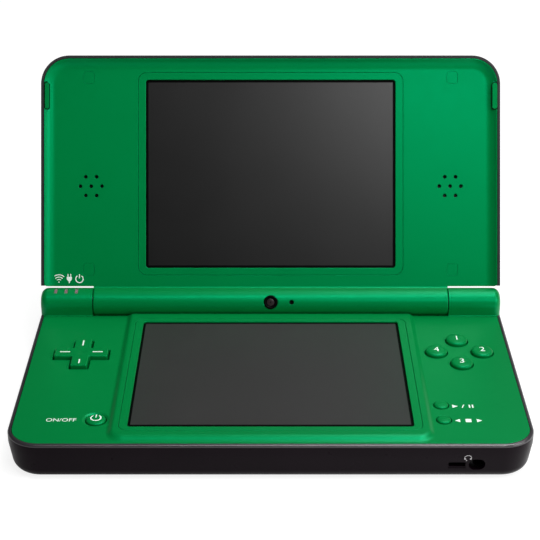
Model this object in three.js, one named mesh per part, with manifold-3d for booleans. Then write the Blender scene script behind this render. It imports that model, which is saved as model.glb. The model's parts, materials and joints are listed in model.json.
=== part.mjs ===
// A clamshell handheld game console as an assembly of separate pieces: a base with the controls and the
// lower screen, and a lid with the upper screen, joined by a barrel hinge along the back edge.
//
// Millimetres, +Z up, +X to the player's right, the player sits in front at -Y. The origin is the middle
// of the base's footprint at table level. Places on the base and on the lid are given as x and reach,
// where reach is the distance from the hinge axis towards the free edge. The lid is drawn as it lies when
// it is shut, in a group whose origin is on the hinge axis, and that group is then turned open.

import * as THREE from 'three';
import { mergeVertices } from 'three/addons/utils/BufferGeometryUtils.js';
import Module from 'manifold-3d';

const wasm = await Module();
wasm.setup();

// Clearances and drawing steps
const clearance = 0.3; // between pieces that lie on each other
const seam = 0.12; // between two edges that meet on the outside
const overrun = 1; // how far a cutter passes the face that it cuts
const roundSteps = 24; // sides of a full circle
const smallRoundSteps = 12; // sides of a small circle
const cornerSteps = 5; // sides of a quarter corner
const filletSteps = 4; // sides of a rounded edge

// Overall shape
const body = { frontCorner: 10.3, rearCorner: 2.5, wall: 1.5 };
const foot = { standOut: 0.5, radius: 3.2, recess: 0.4, insetX: 14, insetY: 12 };
const hinge = {
  barrelRadius: 5, // outside of the lid's barrel and of the base's knuckles
  endGap: 0.3, // between the barrel and a knuckle
  overDeck: 2.95, // from the deck's face to the axis
  openAngle: 116.65, // degrees between shut and the pose in the picture
  boreRadius: 3.4,
  coreRadius: 3, // cartridge and sleeve inside the bore
  coreLength: 24,
  coreInKnuckle: 4.5,
  sleeveBore: 1.8,
};
const knuckle = { endInset: 0.05, endRadius: 2.5 };
const trough = { gap: 0.6, wall: 1 };

// Base shells
const rim = { drop: 0.8, inset: 0.9, softening: 0.25, land: 1.15 };
const base = {
  deckThickness: 1.4,
  underDeck: 2.8, // room for the controls between the board and the deck
  seamDrop: 3.6, // widest line below the deck's face
  lean: 0.15,
  floorFillet: 4.1,
};
const platform = {
  rise: 1.1,
  side: 6.5, // foot of the slope, from the black area
  front: 7.5,
  corner: 5.5,
  topSide: 4.05,
  topFront: 3.9,
  topCorner: 3.5,
  fromEdge: 1.4, // foot of the slope to the front face
};

// Screens: the black area that shows, the frame round it and the module behind it
const screen = {
  halfWidth: 43.85,
  height: 66.7,
  corner: 1,
  frameMargin: 2.6,
  frameCorner: 3,
  frameLip: 0.6,
  glassMargin: 1.35,
  ledge: 0.75,
  moduleMargin: 2.9,
};
const lowerScreen = {
  nearReach: 10.8,
  frameEnds: 2.05, // frame at the near and far ends
  frameDepth: 1.6,
  glass: 0.8,
  module: 2.2,
  gap: 0.2,
};
const upperScreen = {
  nearReach: 12,
  shorter: 0.6, // than the lower one
  frameEnds: 2.5,
  frameDepth: 1.6,
  glass: 0.5,
  module: 1.5,
  ledge: 0.7,
};

// Controls on the deck
const cap = { flange: 0.75, flangeHeight: 0.8, edgeDrop: 0.45, edgeShare: 0.8 };
const dpad = {
  fromPlatform: 2.85, // flange to the foot of the slope
  reach: 32.05,
  span: 17.7,
  arm: 5.5,
  rise: 1.2,
  gap: 0.6,
  hollowRadius: 2.2,
  hollowDepth: 0.3,
  flangeMargin: 0.95,
  flangeDrop: 0.9,
  flangeHeight: 0.8,
  rubberRadius: 3.2,
  rubberHeight: 0.6,
};
const action = {
  fromPlatform: 0.61, // flange of the left button to the foot of the slope
  fromWall: 5.54,
  reach: 30.56,
  pitch: 7.65,
  radius: 3.6,
  rise: 1.35,
  gap: 0.3,
};
const menu = { fromScreen: 9.62, startFromFront: 22.8, pitch: 8.6, radius: 2.2, rise: 0.6, gap: 0.3 };
const power = {
  fromScreen: 10.15,
  fromFront: 14.7,
  radius: 3.05,
  rise: 0.3,
  gap: 0.3,
  dish: 0.55,
  dishDepth: 0.4,
};
const powerSwitch = { width: 5, height: 0.9, stem: 1.2, stemHeight: 0.2 };
const rubber = { thickness: 0.35, pad: 0.15, margin: 1.2, actionMargin: 0.3 };
const lamps = {
  pitch: 3.6,
  count: 3,
  width: 1.24,
  length: 2.6,
  lead: 0.87, // windows in front of the top of the knuckle
  bar: 1.4,
  leg: 1.6,
};
const lampRoom = {
  fromCore: 0.1,
  innerGap: 0.38,
  outerGap: 2.88,
  outerWall: 1.8,
  halfDepth: 3.3,
  wall: 1.7,
  drop: 0.4,
};

// Controls on the walls
const shoulder = {
  length: 23.2, // along the rear wall
  front: 9.7, // how far it wraps forward from the rear face
  bottom: 3.6, // above the shell's underside
  top: 8.7,
  gap: 0.35,
  travelGap: 1.3,
  thickness: 1.9,
  pinInset: 2,
  pinDepth: 3,
  pinRadius: 0.6,
  pinGap: 0.2,
  lugRadius: 1.7,
};
const volume = {
  fromRear: 37.7, // upper button
  pitch: 12,
  z: 6.3, // above the shell's underside
  length: 8.4,
  height: 2.8,
  gap: 0.25,
  standOut: 0.55,
  inside: 2.5,
  flange: 0.7,
  travel: 0.45,
  boardLength: 26,
  boardHeight: 5.6,
  boardThickness: 0.8,
};
const cardDoor = { fromFront: 30.7, length: 27, below: 0.6, above: 0.2, thickness: 1.2, gap: 0.2 };
const stylus = {
  fromBattery: 4.7,
  fromGameSlot: 5,
  underBoard: 0.05,
  length: 96,
  radius: 2.45,
  tipLength: 7,
  tipRadius: 0.7,
  gap: 0.3,
  head: 2.5,
};
const cradle = { wall: 0.9, endStop: 1.4, seatDrop: 0.6 };

// Inside the base
const board = { overBattery: 0.6, thickness: 0.8, margin: 5, rearReach: 3, frontMargin: 5.5 };
const boardChips = [
  { x: -44, fromFront: 24.4, width: 24, depth: 24, height: 1.3 }, // processor under its shield
  { x: -46, fromFront: 60.4, width: 18, depth: 14, height: 1.6 }, // wireless module
  { x: -44, fromFront: 42.4, width: 12, depth: 8, height: 1 }, // memory
];
const boardPost = {
  radius: 1.7,
  fromLeft: 20.5,
  rearReach: 16,
  rightX: 45,
  rightReach: 14,
  frontX: 42,
  fromFront: 10.4,
};
const battery = { width: 50, depth: 38, height: 5.85, corner: 3, fromFront: 9.2 };
const batteryCover = {
  side: 8, // past the battery
  end: 4,
  thickness: 1.2,
  corner: 3,
  padMargin: 2,
  pad: 2.6, // height of the floor's thick part round the cover
};
const coverScrew = {
  inset: 3.6,
  headRadius: 1.7,
  headHeight: 0.7,
  shankRadius: 0.75,
  shankLength: 1.7,
  slot: 0.5,
};
const gameSlot = {
  width: 37,
  depth: 32,
  wall: 0.6,
  openingWidth: 33.6,
  openingHeight: 3.8,
  underBoard: 0.5,
  fromRear: 2.5,
};
const memorySlot = { depth: 28, wall: 0.5, openingWidth: 24.4, openingHeight: 2.4 };
const chargePort = {
  x: 32,
  width: 10,
  depth: 8,
  height: 3.4,
  opening: 7.6,
  openingHeight: 2,
  lip: 0.6,
  drop: 0.2,
};
const headset = {
  fromWall: 17.5,
  underBoard: 2.3, // middle of the housing below the board
  jackRadius: 1.8,
  wallHole: 2.1,
  slotSpacing: 6.4,
  slotWidth: 5.1,
  slotHeight: 1.9,
  housingHalfHeight: 2.4,
  housingSide: 3.6,
  housingDepth: 11,
  boreDepth: 9,
};

// Lid, measured from the hinge axis with the lid shut
const lid = {
  sideInset: 0.05,
  overhang: 0.05, // past the base's front face
  corner: 9.9,
  nearReach: 5.8,
  nearCorner: 1.2,
  rimDrop: 2.65, // rim plane below the axis
  floorDrop: 1, // dished inner floor below the axis
  top: 5.3, // outer face above the axis
  plateTop: 0, // back of the inner case
  edge: 0.95, // outer case's edge that shows round the inner case
  edgeSoftening: 0.25,
  outerFillet: 3.3,
  outerStraight: 2,
  skin: 1.1,
  sideWall: 1.3,
  neckTop: 4.8,
};
const dish = { rimWidth: 0.5, width: 3.9, depthShare: 0.62, widthShare: 0.3, corner: 5 };
const coverPanel = { inset: 4.1, thickness: 0.8, pocketGap: 0.3, corner: 5.5 };
const speaker = {
  fromSide: 17.39,
  reach: 40.7,
  pitch: 3.8,
  hole: 0.65,
  holeSides: 8,
  holesAround: 6,
  halfWidth: 8,
  halfDepth: 11,
  height: 2.4,
};
const speakerCone = { radius: 6, drop: 0.5 };
const screwCover = {
  fromSide: 16.65,
  fromEnd: 7.55,
  nearReach: 11.4,
  width: 3.7,
  depth: 4.1,
  corner: 0.9,
  thickness: 0.7,
};
const bumper = { fromSide: 1.35, width: 1.5, fromEnd: 9.25, length: 9.5, thickness: 0.8, standOut: 0.1 };
const innerCamera = { radius: 2.35, lens: 1.25, lensDrop: 0.5, faceDrop: 0.25, inside: 1.2 };
const outerCamera = { fromSide: 12.45, fromEnd: 17.45, radius: 3.1, lens: 1.7, lensDrop: 0.5, foot: 0.4 };
const microphone = { x: 7.3, hole: 0.5, radius: 1.1, height: 1.1 };

// Heights and places that follow
const shellZ = foot.standOut;
const floorZ = shellZ + body.wall;
const batteryBottom = shellZ + batteryCover.thickness + clearance;
const boardBottom = batteryBottom + battery.height + board.overBattery;
const boardTop = boardBottom + board.thickness;
const deckUnder = boardTop + base.underDeck;
const deckZ = deckUnder + base.deckThickness;
const platformZ = deckZ + platform.rise;
const axisZ = deckZ + hinge.overDeck;

// The base is as deep as its screen or the pieces inside it need.
const screenFarReach = lowerScreen.nearReach + screen.height;
const depthForScreen = hinge.barrelRadius + screenFarReach + platform.front + platform.fromEdge;
const depthInFront = battery.fromFront + battery.depth + stylus.fromBattery;
const depthForInside = depthInFront + stylus.fromGameSlot + gameSlot.depth + gameSlot.fromRear;
const depth = Math.max(depthForScreen, depthForInside);
const rearY = depth / 2;
const frontY = -rearY;
const axisY = rearY - hinge.barrelRadius;

// The base is as wide as its screen with the round buttons beside it.
const platformHalfWidth = screen.halfWidth + platform.side;
const actionReachOut = action.pitch + action.radius + cap.flange;
const actionX = platformHalfWidth + action.fromPlatform + actionReachOut;
const halfWidth = actionX + actionReachOut + action.fromWall;
const dpadFlangeRadius = dpad.span / 2 + dpad.flangeMargin;
const dpadX = -(platformHalfWidth + dpad.fromPlatform + dpadFlangeRadius);
const menuX = screen.halfWidth + menu.fromScreen;
const powerX = -(screen.halfWidth + power.fromScreen);
const startY = frontY + menu.startFromFront;
const selectY = startY - menu.pitch;
const powerY = frontY + power.fromFront;

// The knuckles hold the hinge core's end and, at the left, the room for the lamps.
const troughRadius = hinge.barrelRadius + trough.gap;
const troughFloorZ = axisZ - troughRadius;
const knuckleOuter = halfWidth - knuckle.endInset;
const lampRoomOuter = knuckleOuter - lampRoom.outerWall;
const firstLampX = -(lampRoomOuter - lampRoom.outerGap - lamps.width / 2);
const lastLampX = firstLampX + (lamps.count - 1) * lamps.pitch;
const lampRoomInner = -(lastLampX + lamps.width / 2 + lampRoom.innerGap);
const coreEnd = lampRoomInner - lampRoom.fromCore;
const knuckleInner = coreEnd - clearance - hinge.coreInKnuckle;
const barrelHalfLength = knuckleInner - hinge.endGap;
const plateInset = rim.land + seam;

// Places inside the base
const batteryRearY = frontY + battery.fromFront + battery.depth;
const batteryFrontY = batteryRearY - battery.depth;
const coverRearY = batteryRearY + batteryCover.end;
const coverFrontY = batteryFrontY - batteryCover.end;
const coverHalfWidth = battery.width / 2 + batteryCover.side;
const stylusY = batteryRearY + stylus.fromBattery;
const stylusZ = boardBottom - stylus.underBoard - stylus.gap - stylus.radius;
const shoulderInner = halfWidth - shoulder.length;
const cardDoorY = frontY + cardDoor.fromFront;
const memorySlotHeight = memorySlot.openingHeight + memorySlot.wall * 2;
const memorySlotBottom = boardBottom - memorySlotHeight;
const gameSlotHeight = gameSlot.openingHeight + gameSlot.wall * 2;
const gameSlotBottom = boardBottom - gameSlot.underBoard - gameSlotHeight;
const jackX = halfWidth - headset.fromWall;
const jackSlotX = jackX - headset.slotSpacing;
const jackZ = boardBottom - headset.underBoard;
const volumeYs = [rearY - volume.fromRear, rearY - volume.fromRear - volume.pitch];

// Places on the lid
const lidHalfWidth = halfWidth - lid.sideInset;
const lidReach = axisY - frontY + lid.overhang;
const lowerArea = { ...lowerScreen, farReach: screenFarReach };
const upperArea = { ...upperScreen, farReach: upperScreen.nearReach + screen.height - upperScreen.shorter };
const speakerX = lidHalfWidth - speaker.fromSide;
const outerCameraPlace = { x: lidHalfWidth - outerCamera.fromSide, y: outerCamera.fromEnd - lidReach };

// Geometry helpers

// Turns a closed three.js geometry into a solid that can be joined and cut.
function solid(geometry) {
  const bare = geometry.index ? geometry.toNonIndexed() : geometry.clone();
  for (const name of Object.keys(bare.attributes)) {
    if (name !== 'position') bare.deleteAttribute(name);
  }
  const merged = mergeVertices(bare);
  return new wasm.Manifold(new wasm.Mesh({
    numProp: 3,
    vertProperties: Float32Array.from(merged.attributes.position.array),
    triVerts: Uint32Array.from(merged.index.array),
  }));
}

function joined(...solids) {
  return solids.reduce((whole, next) => whole.add(next));
}

function cut(whole, ...cutters) {
  return cutters.reduce((rest, cutter) => rest.subtract(cutter), whole);
}

function block(left, right, front, back, bottom, top) {
  const geometry = new THREE.BoxGeometry(right - left, back - front, top - bottom);
  return solid(geometry.translate((left + right) / 2, (front + back) / 2, (bottom + top) / 2));
}

// Round bar along Z.
function bar(x, y, radius, bottom, top, sides = roundSteps) {
  const geometry = new THREE.CylinderGeometry(radius, radius, top - bottom, sides);
  return solid(geometry.rotateX(Math.PI / 2).translate(x, y, (bottom + top) / 2));
}

// Round bar along X.
function crossBar(left, right, y, z, radius, sides = roundSteps) {
  const geometry = new THREE.CylinderGeometry(radius, radius, right - left, sides);
  return solid(geometry.rotateZ(Math.PI / 2).translate((left + right) / 2, y, z));
}

// Turned piece round Z, from [radius, height] pairs that start and end on the axis, lowest first.
function turned(profile, sides = roundSteps) {
  const points = profile.map(([radius, height]) => new THREE.Vector2(radius, height));
  return solid(new THREE.LatheGeometry(points, sides).rotateX(Math.PI / 2));
}

// Rectangle with round corners, as a ring of points that always has the same count.
function roundedOutline(left, right, front, back, frontCorner, backCorner) {
  const smallest = seam;
  const near = Math.max(frontCorner, smallest);
  const far = Math.max(backCorner, smallest);
  const quarters = [
    [right - far, back - far, far],
    [left + far, back - far, far],
    [left + near, front + near, near],
    [right - near, front + near, near],
  ];
  return quarters.flatMap(([x, y, radius], quarter) => {
    const start = (quarter * Math.PI) / 2;
    return new THREE.EllipseCurve(x, y, radius, radius, start, start + Math.PI / 2).getPoints(cornerSteps);
  });
}

// Solid through a pile of convex rings of equal count, lowest first.
function pile(rings) {
  const count = rings[0].outline.length;
  const last = (rings.length - 1) * count;
  const places = rings.flatMap(({ outline, z }) => outline.flatMap((point) => [point.x, point.y, z]));
  const faces = [];
  for (let start = 0; start < last; start += count) {
    for (let i = 0; i < count; i++) {
      const here = start + i;
      const next = start + ((i + 1) % count);
      faces.push(here, next, next + count, here, next + count, here + count);
    }
  }
  for (let i = 1; i < count - 1; i++) {
    faces.push(0, i + 1, i, last, last + i, last + i + 1);
  }
  const geometry = new THREE.BufferGeometry();
  geometry.setAttribute('position', new THREE.Float32BufferAttribute(places, 3));
  geometry.setIndex(faces);
  return solid(geometry);
}

function roundedSlab(left, right, front, back, corner, bottom, top) {
  const outline = roundedOutline(left, right, front, back, corner, corner);
  return pile([{ outline, z: bottom }, { outline, z: top }]);
}

function prism(points, bottom, top) {
  const geometry = new THREE.ExtrudeGeometry(new THREE.Shape(points), {
    depth: top - bottom,
    bevelEnabled: false,
  });
  return solid(geometry.translate(0, 0, bottom));
}

// A plus sign, span across, with arms of the given width.
function plusOutline(span, arm) {
  const far = span / 2;
  const side = arm / 2;
  const corners = [
    [side, side], [side, far], [-side, far], [-side, side], [-far, side], [-far, -side],
    [-side, -side], [-side, -far], [side, -far], [side, -side], [far, -side], [far, side],
  ];
  return corners.map(([x, y]) => new THREE.Vector2(x, y));
}

function deckY(reach) {
  return axisY - reach;
}

function material(color, roughness, metalness = 0) {
  return new THREE.MeshStandardMaterial({ color, roughness, metalness });
}

const finishes = {
  greenShell: material(0x008040, 0.35),
  darkShell: material(0x1b1719, 0.45),
  greenPanel: material(0x007a40, 0.15),
  blackGlass: material(0x0b0b0d, 0.08),
  module: material(0x3a3f44, 0.5, 0.3),
  circuit: material(0x14532d, 0.6),
  metal: material(0xb8babd, 0.3, 0.9),
  rubber: material(0x2b2b2e, 0.9),
  greyRubber: material(0x8d9094, 0.9),
  cell: material(0x3f4247, 0.55),
  lamp: material(0x7d6a66, 0.3),
  penBody: material(0x17181a, 0.4),
};

function addPiece(group, name, shape, finish, x = 0, y = 0, z = 0) {
  const mesh = shape.getMesh();
  const geometry = new THREE.BufferGeometry();
  geometry.setAttribute('position', new THREE.BufferAttribute(mesh.vertProperties, 3));
  geometry.setIndex(new THREE.BufferAttribute(mesh.triVerts, 1));
  const piece = new THREE.Mesh(geometry, finish);
  piece.name = name;
  piece.position.set(x, y, z);
  group.add(piece);
}

// Base shells

function baseRing(inset, z) {
  const outline = roundedOutline(
    -halfWidth + inset,
    halfWidth - inset,
    frontY + inset,
    rearY - inset,
    body.frontCorner - inset,
    body.rearCorner - inset,
  );
  return { outline, z };
}

// The tub's wall leans inward below the seam, down to a round lower edge.
const seamZ = deckZ - base.seamDrop;
const filletZ = shellZ + base.floorFillet;
const leanAngle = Math.atan(base.lean);
const filletInset = base.lean * (seamZ - filletZ) + base.floorFillet / Math.cos(leanAngle);

// How far the wall's inner face lies inside the widest outline, at a height below the seam.
function innerInset(z) {
  if (z >= filletZ) return body.wall / Math.cos(leanAngle) + base.lean * (seamZ - z);
  const radius = base.floorFillet - body.wall;
  return filletInset - Math.sqrt(radius ** 2 - (filletZ - z) ** 2);
}

// Rings of the tub's rounded lower edge, drawn inward by the given depth.
function tubRings(depth) {
  const radius = base.floorFillet - depth;
  const rings = [];
  for (let step = filletSteps; step >= 0; step--) {
    const angle = leanAngle + (Math.PI / 2 - leanAngle) * (step / filletSteps);
    rings.push(baseRing(filletInset - radius * Math.cos(angle), filletZ - radius * Math.sin(angle)));
  }
  rings.push(baseRing(depth, seamZ));
  return rings;
}

function tubOuter() {
  return pile([
    ...tubRings(0),
    baseRing(0, deckZ - rim.drop),
    baseRing(rim.softening, deckZ - rim.softening),
    baseRing(rim.inset, deckZ),
  ]);
}

const tubSolid = tubOuter();

function shoulderBox(side, grow) {
  const inner = shoulderInner - grow;
  const front = rearY - shoulder.front - (grow > 0 ? shoulder.travelGap : 0);
  const [left, right] = side > 0 ? [inner, halfWidth + overrun] : [-halfWidth - overrun, -inner];
  const bottom = shellZ + shoulder.bottom - grow;
  return block(left, right, front, rearY + overrun, bottom, shellZ + shoulder.top + grow);
}

function shoulderPinPlace(side) {
  return { x: side * (shoulderInner + shoulder.pinInset), y: rearY - shoulder.pinDepth };
}

function cardDoorBox(grow) {
  const front = cardDoorY - cardDoor.length / 2 - grow;
  const back = cardDoorY + cardDoor.length / 2 + grow;
  const bottom = memorySlotBottom - cardDoor.below - grow;
  const top = memorySlotBottom + memorySlotHeight + cardDoor.above + grow;
  return block(halfWidth - body.wall - overrun, halfWidth + overrun, front, back, bottom, top);
}

// Hole for a volume button in the left wall.
function volumeSlot(y) {
  const z = shellZ + volume.z;
  const halfLength = volume.length / 2 + volume.gap;
  const halfHeight = volume.height / 2 + volume.gap;
  const [left, right] = [-halfWidth - overrun, -halfWidth + body.wall + overrun];
  return block(left, right, y - halfLength, y + halfLength, z - halfHeight, z + halfHeight);
}

function baseBottomCase() {
  const ledgeZ = deckUnder - seam;
  const cavity = pile([...tubRings(body.wall), baseRing(body.wall, ledgeZ)]);
  const mouth = pile([baseRing(rim.land, ledgeZ), baseRing(rim.land, deckZ + overrun)]);
  let shell = cut(tubSolid, cavity, mouth);

  const cover = batteryCover;
  shell = shell.add(roundedSlab(
    -coverHalfWidth - cover.padMargin,
    coverHalfWidth + cover.padMargin,
    coverFrontY - cover.padMargin,
    coverRearY + cover.padMargin,
    cover.corner + cover.padMargin,
    batteryBottom,
    shellZ + cover.pad,
  ));

  const cradleHalf = stylus.radius + stylus.gap + cradle.wall;
  const cradleEnd = halfWidth - stylus.length - cradle.endStop;
  shell = shell.add(block(
    cradleEnd,
    halfWidth - body.wall,
    stylusY - cradleHalf,
    stylusY + cradleHalf,
    shellZ + cradle.seatDrop,
    stylusZ,
  ));

  const postFoot = shellZ + cradle.seatDrop;
  for (const { x, y } of boardPostPlaces()) {
    shell = shell.add(bar(x, y, boardPost.radius, postFoot, boardBottom, smallRoundSteps));
  }
  for (const side of [-1, 1]) {
    const { x, y } = shoulderPinPlace(side);
    const bossTop = shellZ + shoulder.bottom;
    shell = shell.add(bar(x, y, shoulder.lugRadius, postFoot, bossTop, smallRoundSteps));
    shell = cut(
      shell,
      shoulderBox(side, shoulder.gap),
      bar(x, y, shoulder.pinRadius + shoulder.pinGap, floorZ, bossTop + overrun, smallRoundSteps),
    );
  }

  const stylusRoom = crossBar(
    halfWidth - stylus.length - clearance,
    halfWidth + overrun,
    stylusY,
    stylusZ,
    stylus.radius + stylus.gap,
  );
  const coverRecess = roundedSlab(
    -coverHalfWidth - seam,
    coverHalfWidth + seam,
    coverFrontY - seam,
    coverRearY + seam,
    cover.corner + seam,
    shellZ - overrun,
    shellZ + cover.thickness + seam,
  );
  const batteryRoom = roundedSlab(
    -battery.width / 2 - clearance,
    battery.width / 2 + clearance,
    batteryFrontY - clearance,
    batteryRearY + clearance,
    battery.corner,
    shellZ - overrun,
    shellZ + cover.pad + overrun,
  );
  const troughRoom = block(
    -knuckleInner - trough.wall - seam,
    knuckleInner + trough.wall + seam,
    axisY - troughRadius,
    rearY + overrun,
    troughFloorZ - trough.wall - seam,
    deckZ + overrun,
  );
  const gameBottom = gameSlotBottom + gameSlot.wall;
  const gameMouth = block(
    -gameSlot.openingWidth / 2,
    gameSlot.openingWidth / 2,
    rearY - body.wall - base.floorFillet,
    rearY + overrun,
    gameBottom,
    gameBottom + gameSlot.openingHeight,
  );
  const chargeZ = boardBottom - chargePort.drop - chargePort.height / 2;
  const chargeMouth = block(
    chargePort.x - chargePort.opening / 2,
    chargePort.x + chargePort.opening / 2,
    rearY - body.wall - overrun,
    rearY + overrun,
    chargeZ - chargePort.openingHeight / 2,
    chargeZ + chargePort.openingHeight / 2,
  );
  const jackGeometry = new THREE.CylinderGeometry(
    headset.wallHole,
    headset.wallHole,
    body.wall + overrun * 2,
    smallRoundSteps,
  );
  const wallMiddle = frontY + (body.wall + overrun) / 2;
  const jackHole = solid(jackGeometry.translate(jackX, wallMiddle, jackZ));
  const jackSlot = block(
    jackSlotX - headset.slotWidth / 2,
    jackSlotX + headset.slotWidth / 2,
    frontY - overrun,
    frontY + body.wall + overrun,
    jackZ - headset.slotHeight / 2,
    jackZ + headset.slotHeight / 2,
  );
  shell = cut(
    shell,
    stylusRoom,
    coverRecess,
    batteryRoom,
    troughRoom,
    gameMouth,
    chargeMouth,
    jackHole,
    jackSlot,
    cardDoorBox(cardDoor.gap),
  );
  for (const y of volumeYs) {
    shell = shell.subtract(volumeSlot(y));
  }
  for (const { x, y } of footPlaces()) {
    shell = shell.subtract(bar(x, y, foot.radius + seam, shellZ - overrun, shellZ + foot.recess + seam));
  }
  for (const x of coverScrewPlaces()) {
    const hole = coverScrew.shankRadius + seam;
    const top = shellZ + cover.thickness + coverScrew.shankLength;
    shell = shell.subtract(bar(x, coverScrewY(), hole, shellZ, top, smallRoundSteps));
  }
  return shell;
}

function footPlaces() {
  const x = halfWidth - foot.insetX;
  const y = rearY - foot.insetY;
  return [{ x: -x, y: -y }, { x, y: -y }, { x: -x, y }, { x, y }];
}

function boardPostPlaces() {
  const left = -halfWidth + boardPost.fromLeft;
  const front = frontY + boardPost.fromFront;
  return [
    { x: left, y: deckY(boardPost.rearReach) },
    { x: boardPost.rightX, y: deckY(boardPost.rightReach) },
    { x: left, y: front },
    { x: boardPost.frontX, y: front },
  ];
}

function coverScrewPlaces() {
  const x = coverHalfWidth - coverScrew.inset;
  return [-x, x];
}

function coverScrewY() {
  return (coverRearY + coverFrontY) / 2;
}

// Round-topped knuckle with a straight front and back, along X.
function knuckleBlock(left, right) {
  const radius = hinge.barrelRadius;
  const arch = new THREE.EllipseCurve(0, 0, radius, radius, 0, Math.PI).getPoints(roundSteps / 2);
  const outline = [new THREE.Vector2(-radius, -hinge.overDeck - overrun / 2), ...arch.reverse()];
  outline.push(new THREE.Vector2(radius, -hinge.overDeck - overrun / 2));
  const geometry = new THREE.ExtrudeGeometry(new THREE.Shape(outline), {
    depth: right - left,
    bevelEnabled: false,
  });
  geometry.rotateX(Math.PI / 2).rotateZ(Math.PI / 2);
  return solid(geometry.translate(left, axisY, axisZ));
}

function frontViewLimit(top) {
  const outline = roundedOutline(-knuckleOuter, knuckleOuter, 0, top, seam, knuckle.endRadius);
  const geometry = new THREE.ExtrudeGeometry(new THREE.Shape(outline), {
    depth: depth + overrun * 2,
    bevelEnabled: false,
  });
  return solid(geometry.rotateX(Math.PI / 2).translate(0, rearY + overrun, 0));
}

function platformRing(width, reach, corner, z) {
  return { outline: roundedOutline(-width, width, deckY(reach), axisY, corner, seam), z };
}

function screenSlab(area, margin, corner, bottom, top, y = deckY) {
  const width = screen.halfWidth + margin;
  const front = y(area.farReach + margin);
  return roundedSlab(-width, width, front, y(area.nearReach - margin), corner, bottom, top);
}

// Outline of the frame round a screen.
function frameSlab(area, grow, corner, bottom, top, y = deckY) {
  const width = screen.halfWidth + screen.frameMargin + grow;
  const ends = area.frameEnds + grow;
  return roundedSlab(-width, width, y(area.farReach + ends), y(area.nearReach - ends), corner, bottom, top);
}

function lampWindow(index, bottom, top) {
  const x = firstLampX + index * lamps.pitch;
  const y = axisY - lamps.lead;
  const halfWide = lamps.width / 2;
  const halfLong = lamps.length / 2;
  return block(x - halfWide, x + halfWide, y - halfLong, y + halfLong, bottom, top);
}

function baseTopCase() {
  const plate = pile([baseRing(plateInset, deckUnder), baseRing(plateInset, deckZ)]);
  const raised = pile([
    platformRing(platformHalfWidth, screenFarReach + platform.front, platform.corner, deckUnder),
    platformRing(platformHalfWidth, screenFarReach + platform.front, platform.corner, deckZ),
    platformRing(
      screen.halfWidth + platform.topSide,
      screenFarReach + platform.topFront,
      platform.topCorner,
      platformZ,
    ),
  ]);
  const troughEnd = knuckleInner + trough.wall;
  const troughWall = crossBar(-troughEnd, troughEnd, axisY, axisZ, troughRadius + trough.wall)
    .intersect(block(-halfWidth, halfWidth, frontY, axisY, 0, deckZ));
  const troughFloor = block(
    -troughEnd,
    troughEnd,
    axisY - overrun,
    rearY - seam,
    troughFloorZ - trough.wall,
    troughFloorZ,
  );
  let shell = joined(plate, raised, troughWall, troughFloor);
  for (const side of [-1, 1]) {
    const [left, right] = side > 0 ? [knuckleInner, knuckleOuter] : [-knuckleOuter, -knuckleInner];
    const [wallLeft, wallRight] = side > 0 ? [left, left + trough.wall] : [right - trough.wall, right];
    const knuckleTop = axisZ + hinge.barrelRadius;
    const head = knuckleBlock(left, right)
      .intersect(frontViewLimit(knuckleTop))
      .intersect(block(-halfWidth, halfWidth, frontY, rearY + overrun, deckZ + seam, knuckleTop));
    const root = pile([baseRing(plateInset, deckUnder), baseRing(plateInset, deckZ + seam)])
      .intersect(block(left, right, axisY - hinge.barrelRadius, rearY, 0, axisZ));
    const endWall = block(
      wallLeft,
      wallRight,
      axisY - troughRadius,
      rearY - seam,
      troughFloorZ - trough.wall,
      deckZ,
    );
    shell = joined(shell, head, root, endWall);
  }

  const troughRoom = joined(
    crossBar(-knuckleInner, knuckleInner, axisY, axisZ, troughRadius),
    block(-knuckleInner, knuckleInner, axisY, rearY + overrun, troughFloorZ, axisZ + troughRadius),
  );
  const bore = crossBar(-coreEnd, coreEnd, axisY, axisZ, hinge.coreRadius + clearance);
  const framePocket = frameSlab(
    lowerArea,
    seam,
    screen.frameCorner,
    platformZ - lowerScreen.frameDepth,
    platformZ + overrun,
  );
  const lookThrough = screenSlab(lowerArea, screen.ledge, screen.corner, deckUnder - overrun, platformZ);
  const lampShaft = block(
    -lampRoomOuter,
    -lampRoomInner,
    axisY - lampRoom.halfDepth,
    axisY + lampRoom.halfDepth,
    deckUnder - overrun,
    axisZ + hinge.barrelRadius - lampRoom.wall,
  );
  const dpadWell = prism(
    plusOutline(dpad.span + dpad.gap * 2, dpad.arm + dpad.gap * 2),
    deckUnder - overrun,
    deckZ + overrun,
  ).translate([dpadX, deckY(dpad.reach), 0]);
  shell = cut(shell, troughRoom, bore, framePocket, lookThrough, lampShaft, dpadWell);
  for (let index = 0; index < lamps.count; index++) {
    shell = shell.subtract(lampWindow(index, axisZ, axisZ + hinge.barrelRadius + overrun));
  }
  const holes = [
    ...actionPlaces().map((place) => ({ ...place, radius: action.radius + action.gap })),
    { x: menuX, y: startY, radius: menu.radius + menu.gap },
    { x: menuX, y: selectY, radius: menu.radius + menu.gap },
    { x: powerX, y: powerY, radius: power.radius + power.gap },
  ];
  for (const { x, y, radius } of holes) {
    shell = shell.subtract(bar(x, y, radius, deckUnder - overrun, deckZ + overrun));
  }
  const dishRadius = power.radius + power.gap;
  const powerDish = turned([
    [0, -power.dishDepth],
    [dishRadius, -power.dishDepth],
    [dishRadius + power.dish, 0],
    [dishRadius + power.dish, overrun],
    [0, overrun],
  ]).translate([powerX, powerY, deckZ]);
  return shell.subtract(powerDish);
}

// Controls

function actionPlaces() {
  const directions = { top: [0, 1], right: [1, 0], bottom: [0, -1], left: [-1, 0] };
  return Object.entries(directions).map(([where, [dx, dy]]) => ({
    name: `action_button_${where}`,
    x: actionX + dx * action.pitch,
    y: deckY(action.reach) + dy * action.pitch,
  }));
}

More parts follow.
